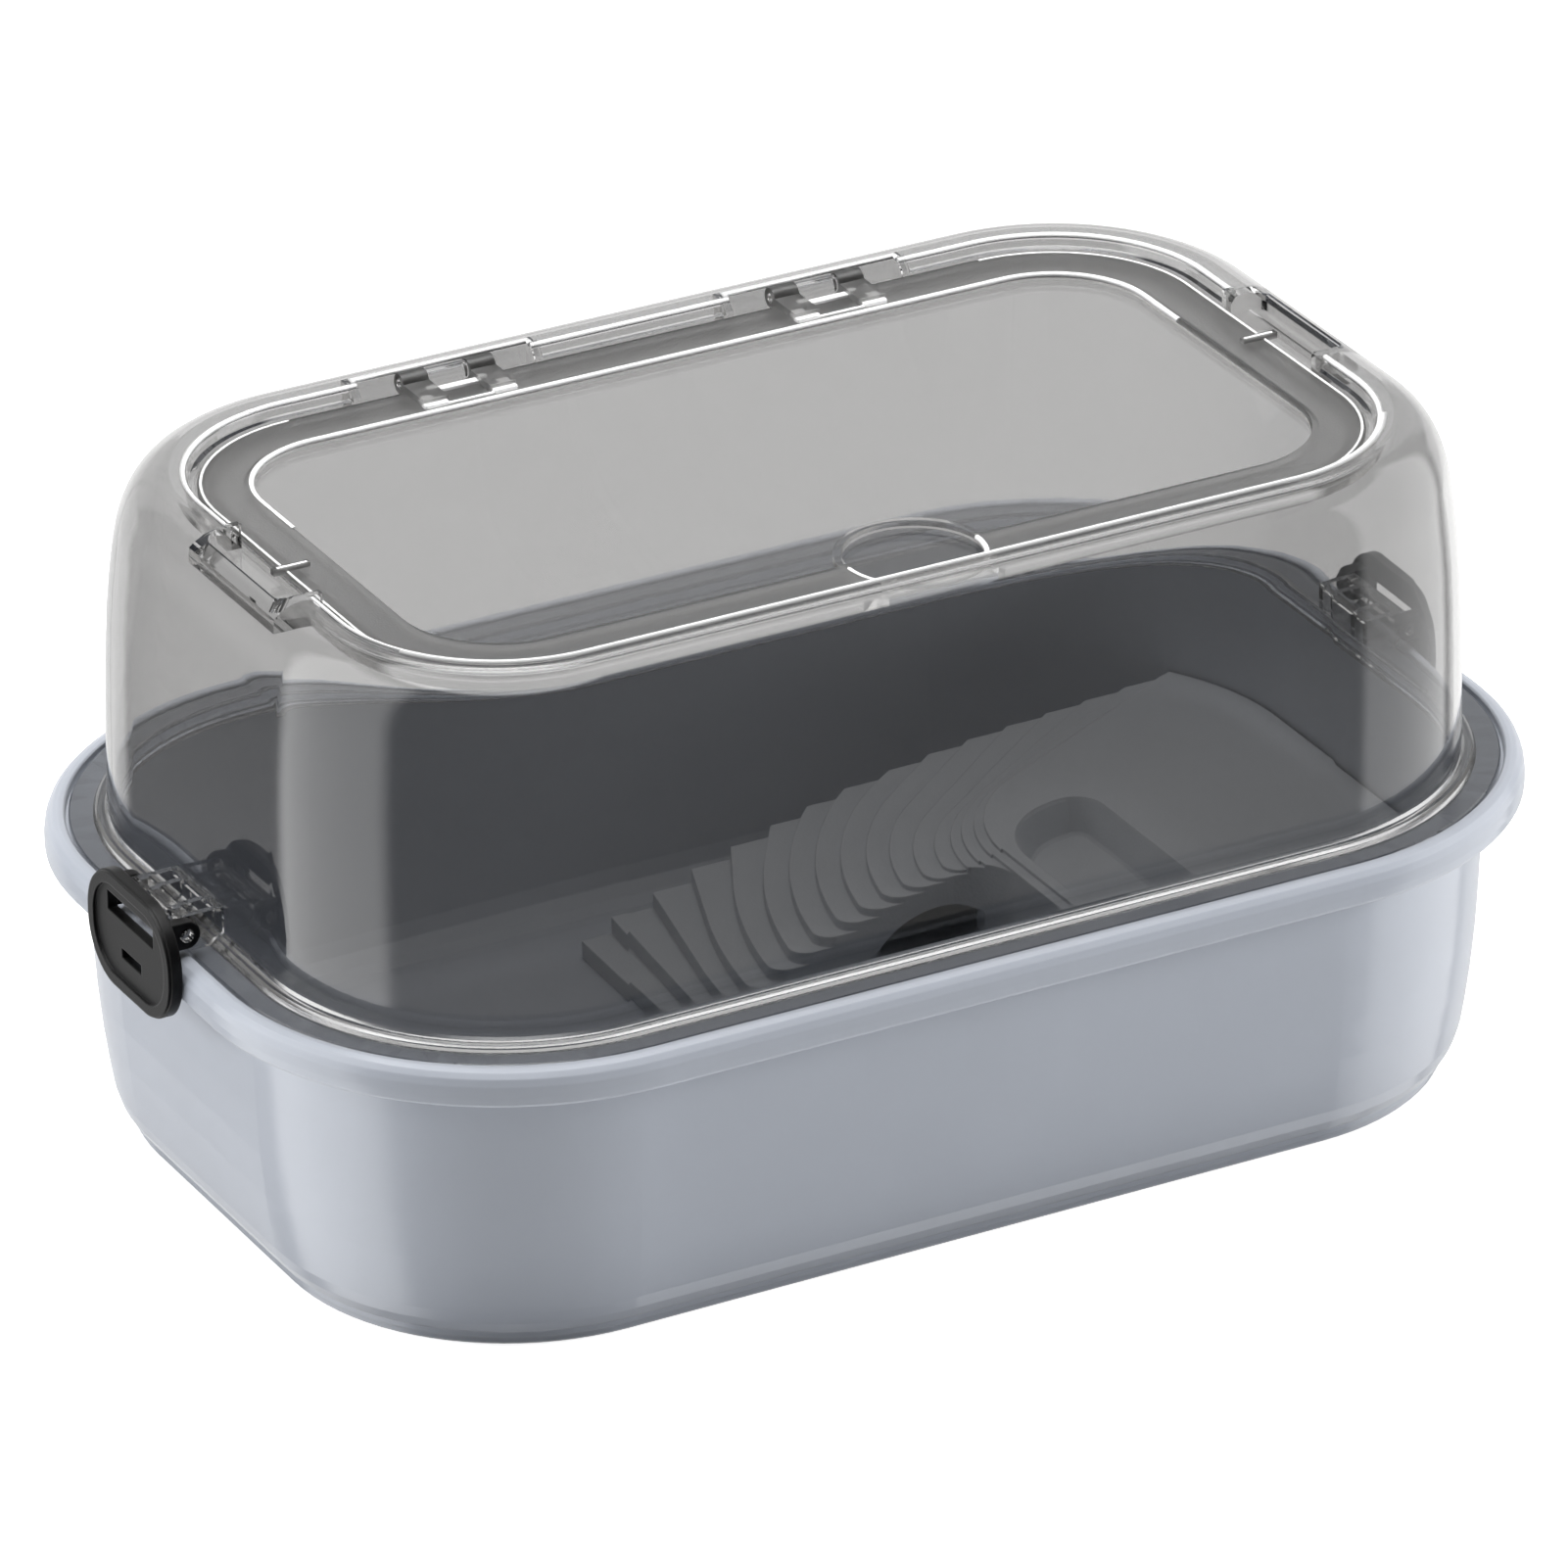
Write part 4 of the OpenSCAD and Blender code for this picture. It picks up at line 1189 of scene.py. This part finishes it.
def studio_camera(context, sizes):
    """The camera, turned round its target."""
    data = bpy.data.cameras.new("Camera")
    data.lens = sizes.lens
    data.sensor_width = 36.0
    data.sensor_fit = "HORIZONTAL"
    data.clip_start, data.clip_end = 0.05, 50.0
    camera = place_object(context, "Camera", data)
    a, e, r = sizes.azimuth, sizes.elevation, sizes.roll
    back = Vector((math.sin(a) * math.cos(e), -math.cos(a) * math.cos(e), math.sin(e)))
    right = (-back).cross(Vector((0, 0, 1))).normalized()
    up = right.cross(-back)
    x_axis = math.cos(r) * right + math.sin(r) * up
    y_axis = -math.sin(r) * right + math.cos(r) * up
    turn = Matrix((x_axis, y_axis, back)).transposed()
    camera.rotation_mode = "QUATERNION"
    camera.rotation_quaternion = turn.to_quaternion()
    camera.location = CAMERA_TARGET + back * sizes.distance
    context.scene.camera = camera


class TANK_OT_studio(bpy.types.Operator):
    """Build the pale floor, the soft lamps and the camera"""

    bl_idname = "tank.studio"
    bl_label = "Studio"

    def execute(self, context):
        sizes = context.scene.tank_studio
        studio_world(context.scene)
        studio_floor(context)
        for name, place, size, power in LAMPS:
            soft_lamp(context, name, place, size, power * sizes.lamp_level)
        studio_camera(context, sizes)
        context.scene.view_settings.view_transform = "Standard"
        return {"FINISHED"}


OPERATORS = (
    TANK_OT_basin,
    TANK_OT_cover,
    TANK_OT_hatch,
    TANK_OT_latches,
    TANK_OT_insert,
    TANK_OT_nosings,
    TANK_OT_panel_bead,
    TANK_OT_lip_bead,
    TANK_OT_hinge_blocks,
    TANK_OT_studio,
)


class TANK_PT_panel(bpy.types.Panel):
    """Settings of the tank and one button for each of its operators"""

    bl_idname = "TANK_PT_panel"
    bl_label = "Turtle tank"
    bl_space_type = "VIEW_3D"
    bl_region_type = "UI"
    bl_category = "Tank"

    def draw(self, context):
        scene = context.scene
        for group in (scene.tank_finish, scene.tank_hatch, scene.tank_nosing, scene.tank_studio):
            box = self.layout.box()
            for key in group.bl_rna.properties.keys():
                if key not in ("rna_type", "name"):
                    box.prop(group, key)
        for operator in OPERATORS:
            self.layout.operator(operator.bl_idname)


GROUPS = (TankFinish, TankHatch, TankNosing, TankStudio)


def register():
    """Adds the classes and gives each scene its settings."""
    for cls in (*GROUPS, *OPERATORS, TANK_PT_panel):
        bpy.utils.register_class(cls)
    bpy.types.Scene.tank_finish = PointerProperty(type=TankFinish)
    bpy.types.Scene.tank_hatch = PointerProperty(type=TankHatch)
    bpy.types.Scene.tank_nosing = PointerProperty(type=TankNosing)
    bpy.types.Scene.tank_studio = PointerProperty(type=TankStudio)


def unregister():
    """Takes the settings and the classes away again."""
    for name in ("tank_studio", "tank_nosing", "tank_hatch", "tank_finish"):
        delattr(bpy.types.Scene, name)
    for cls in (TANK_PT_panel, *reversed(OPERATORS), *reversed(GROUPS)):
        bpy.utils.unregister_class(cls)


def main():
    register()
    bpy.ops.tank.basin()
    bpy.ops.tank.cover()
    bpy.ops.tank.hatch()
    bpy.ops.tank.latches()
    bpy.ops.tank.climbing_insert()
    bpy.ops.tank.nosings()
    bpy.ops.tank.panel_bead()
    bpy.ops.tank.lip_bead()
    bpy.ops.tank.hinge_blocks()
    bpy.ops.tank.studio()


if __name__ == "__main__":
    main()
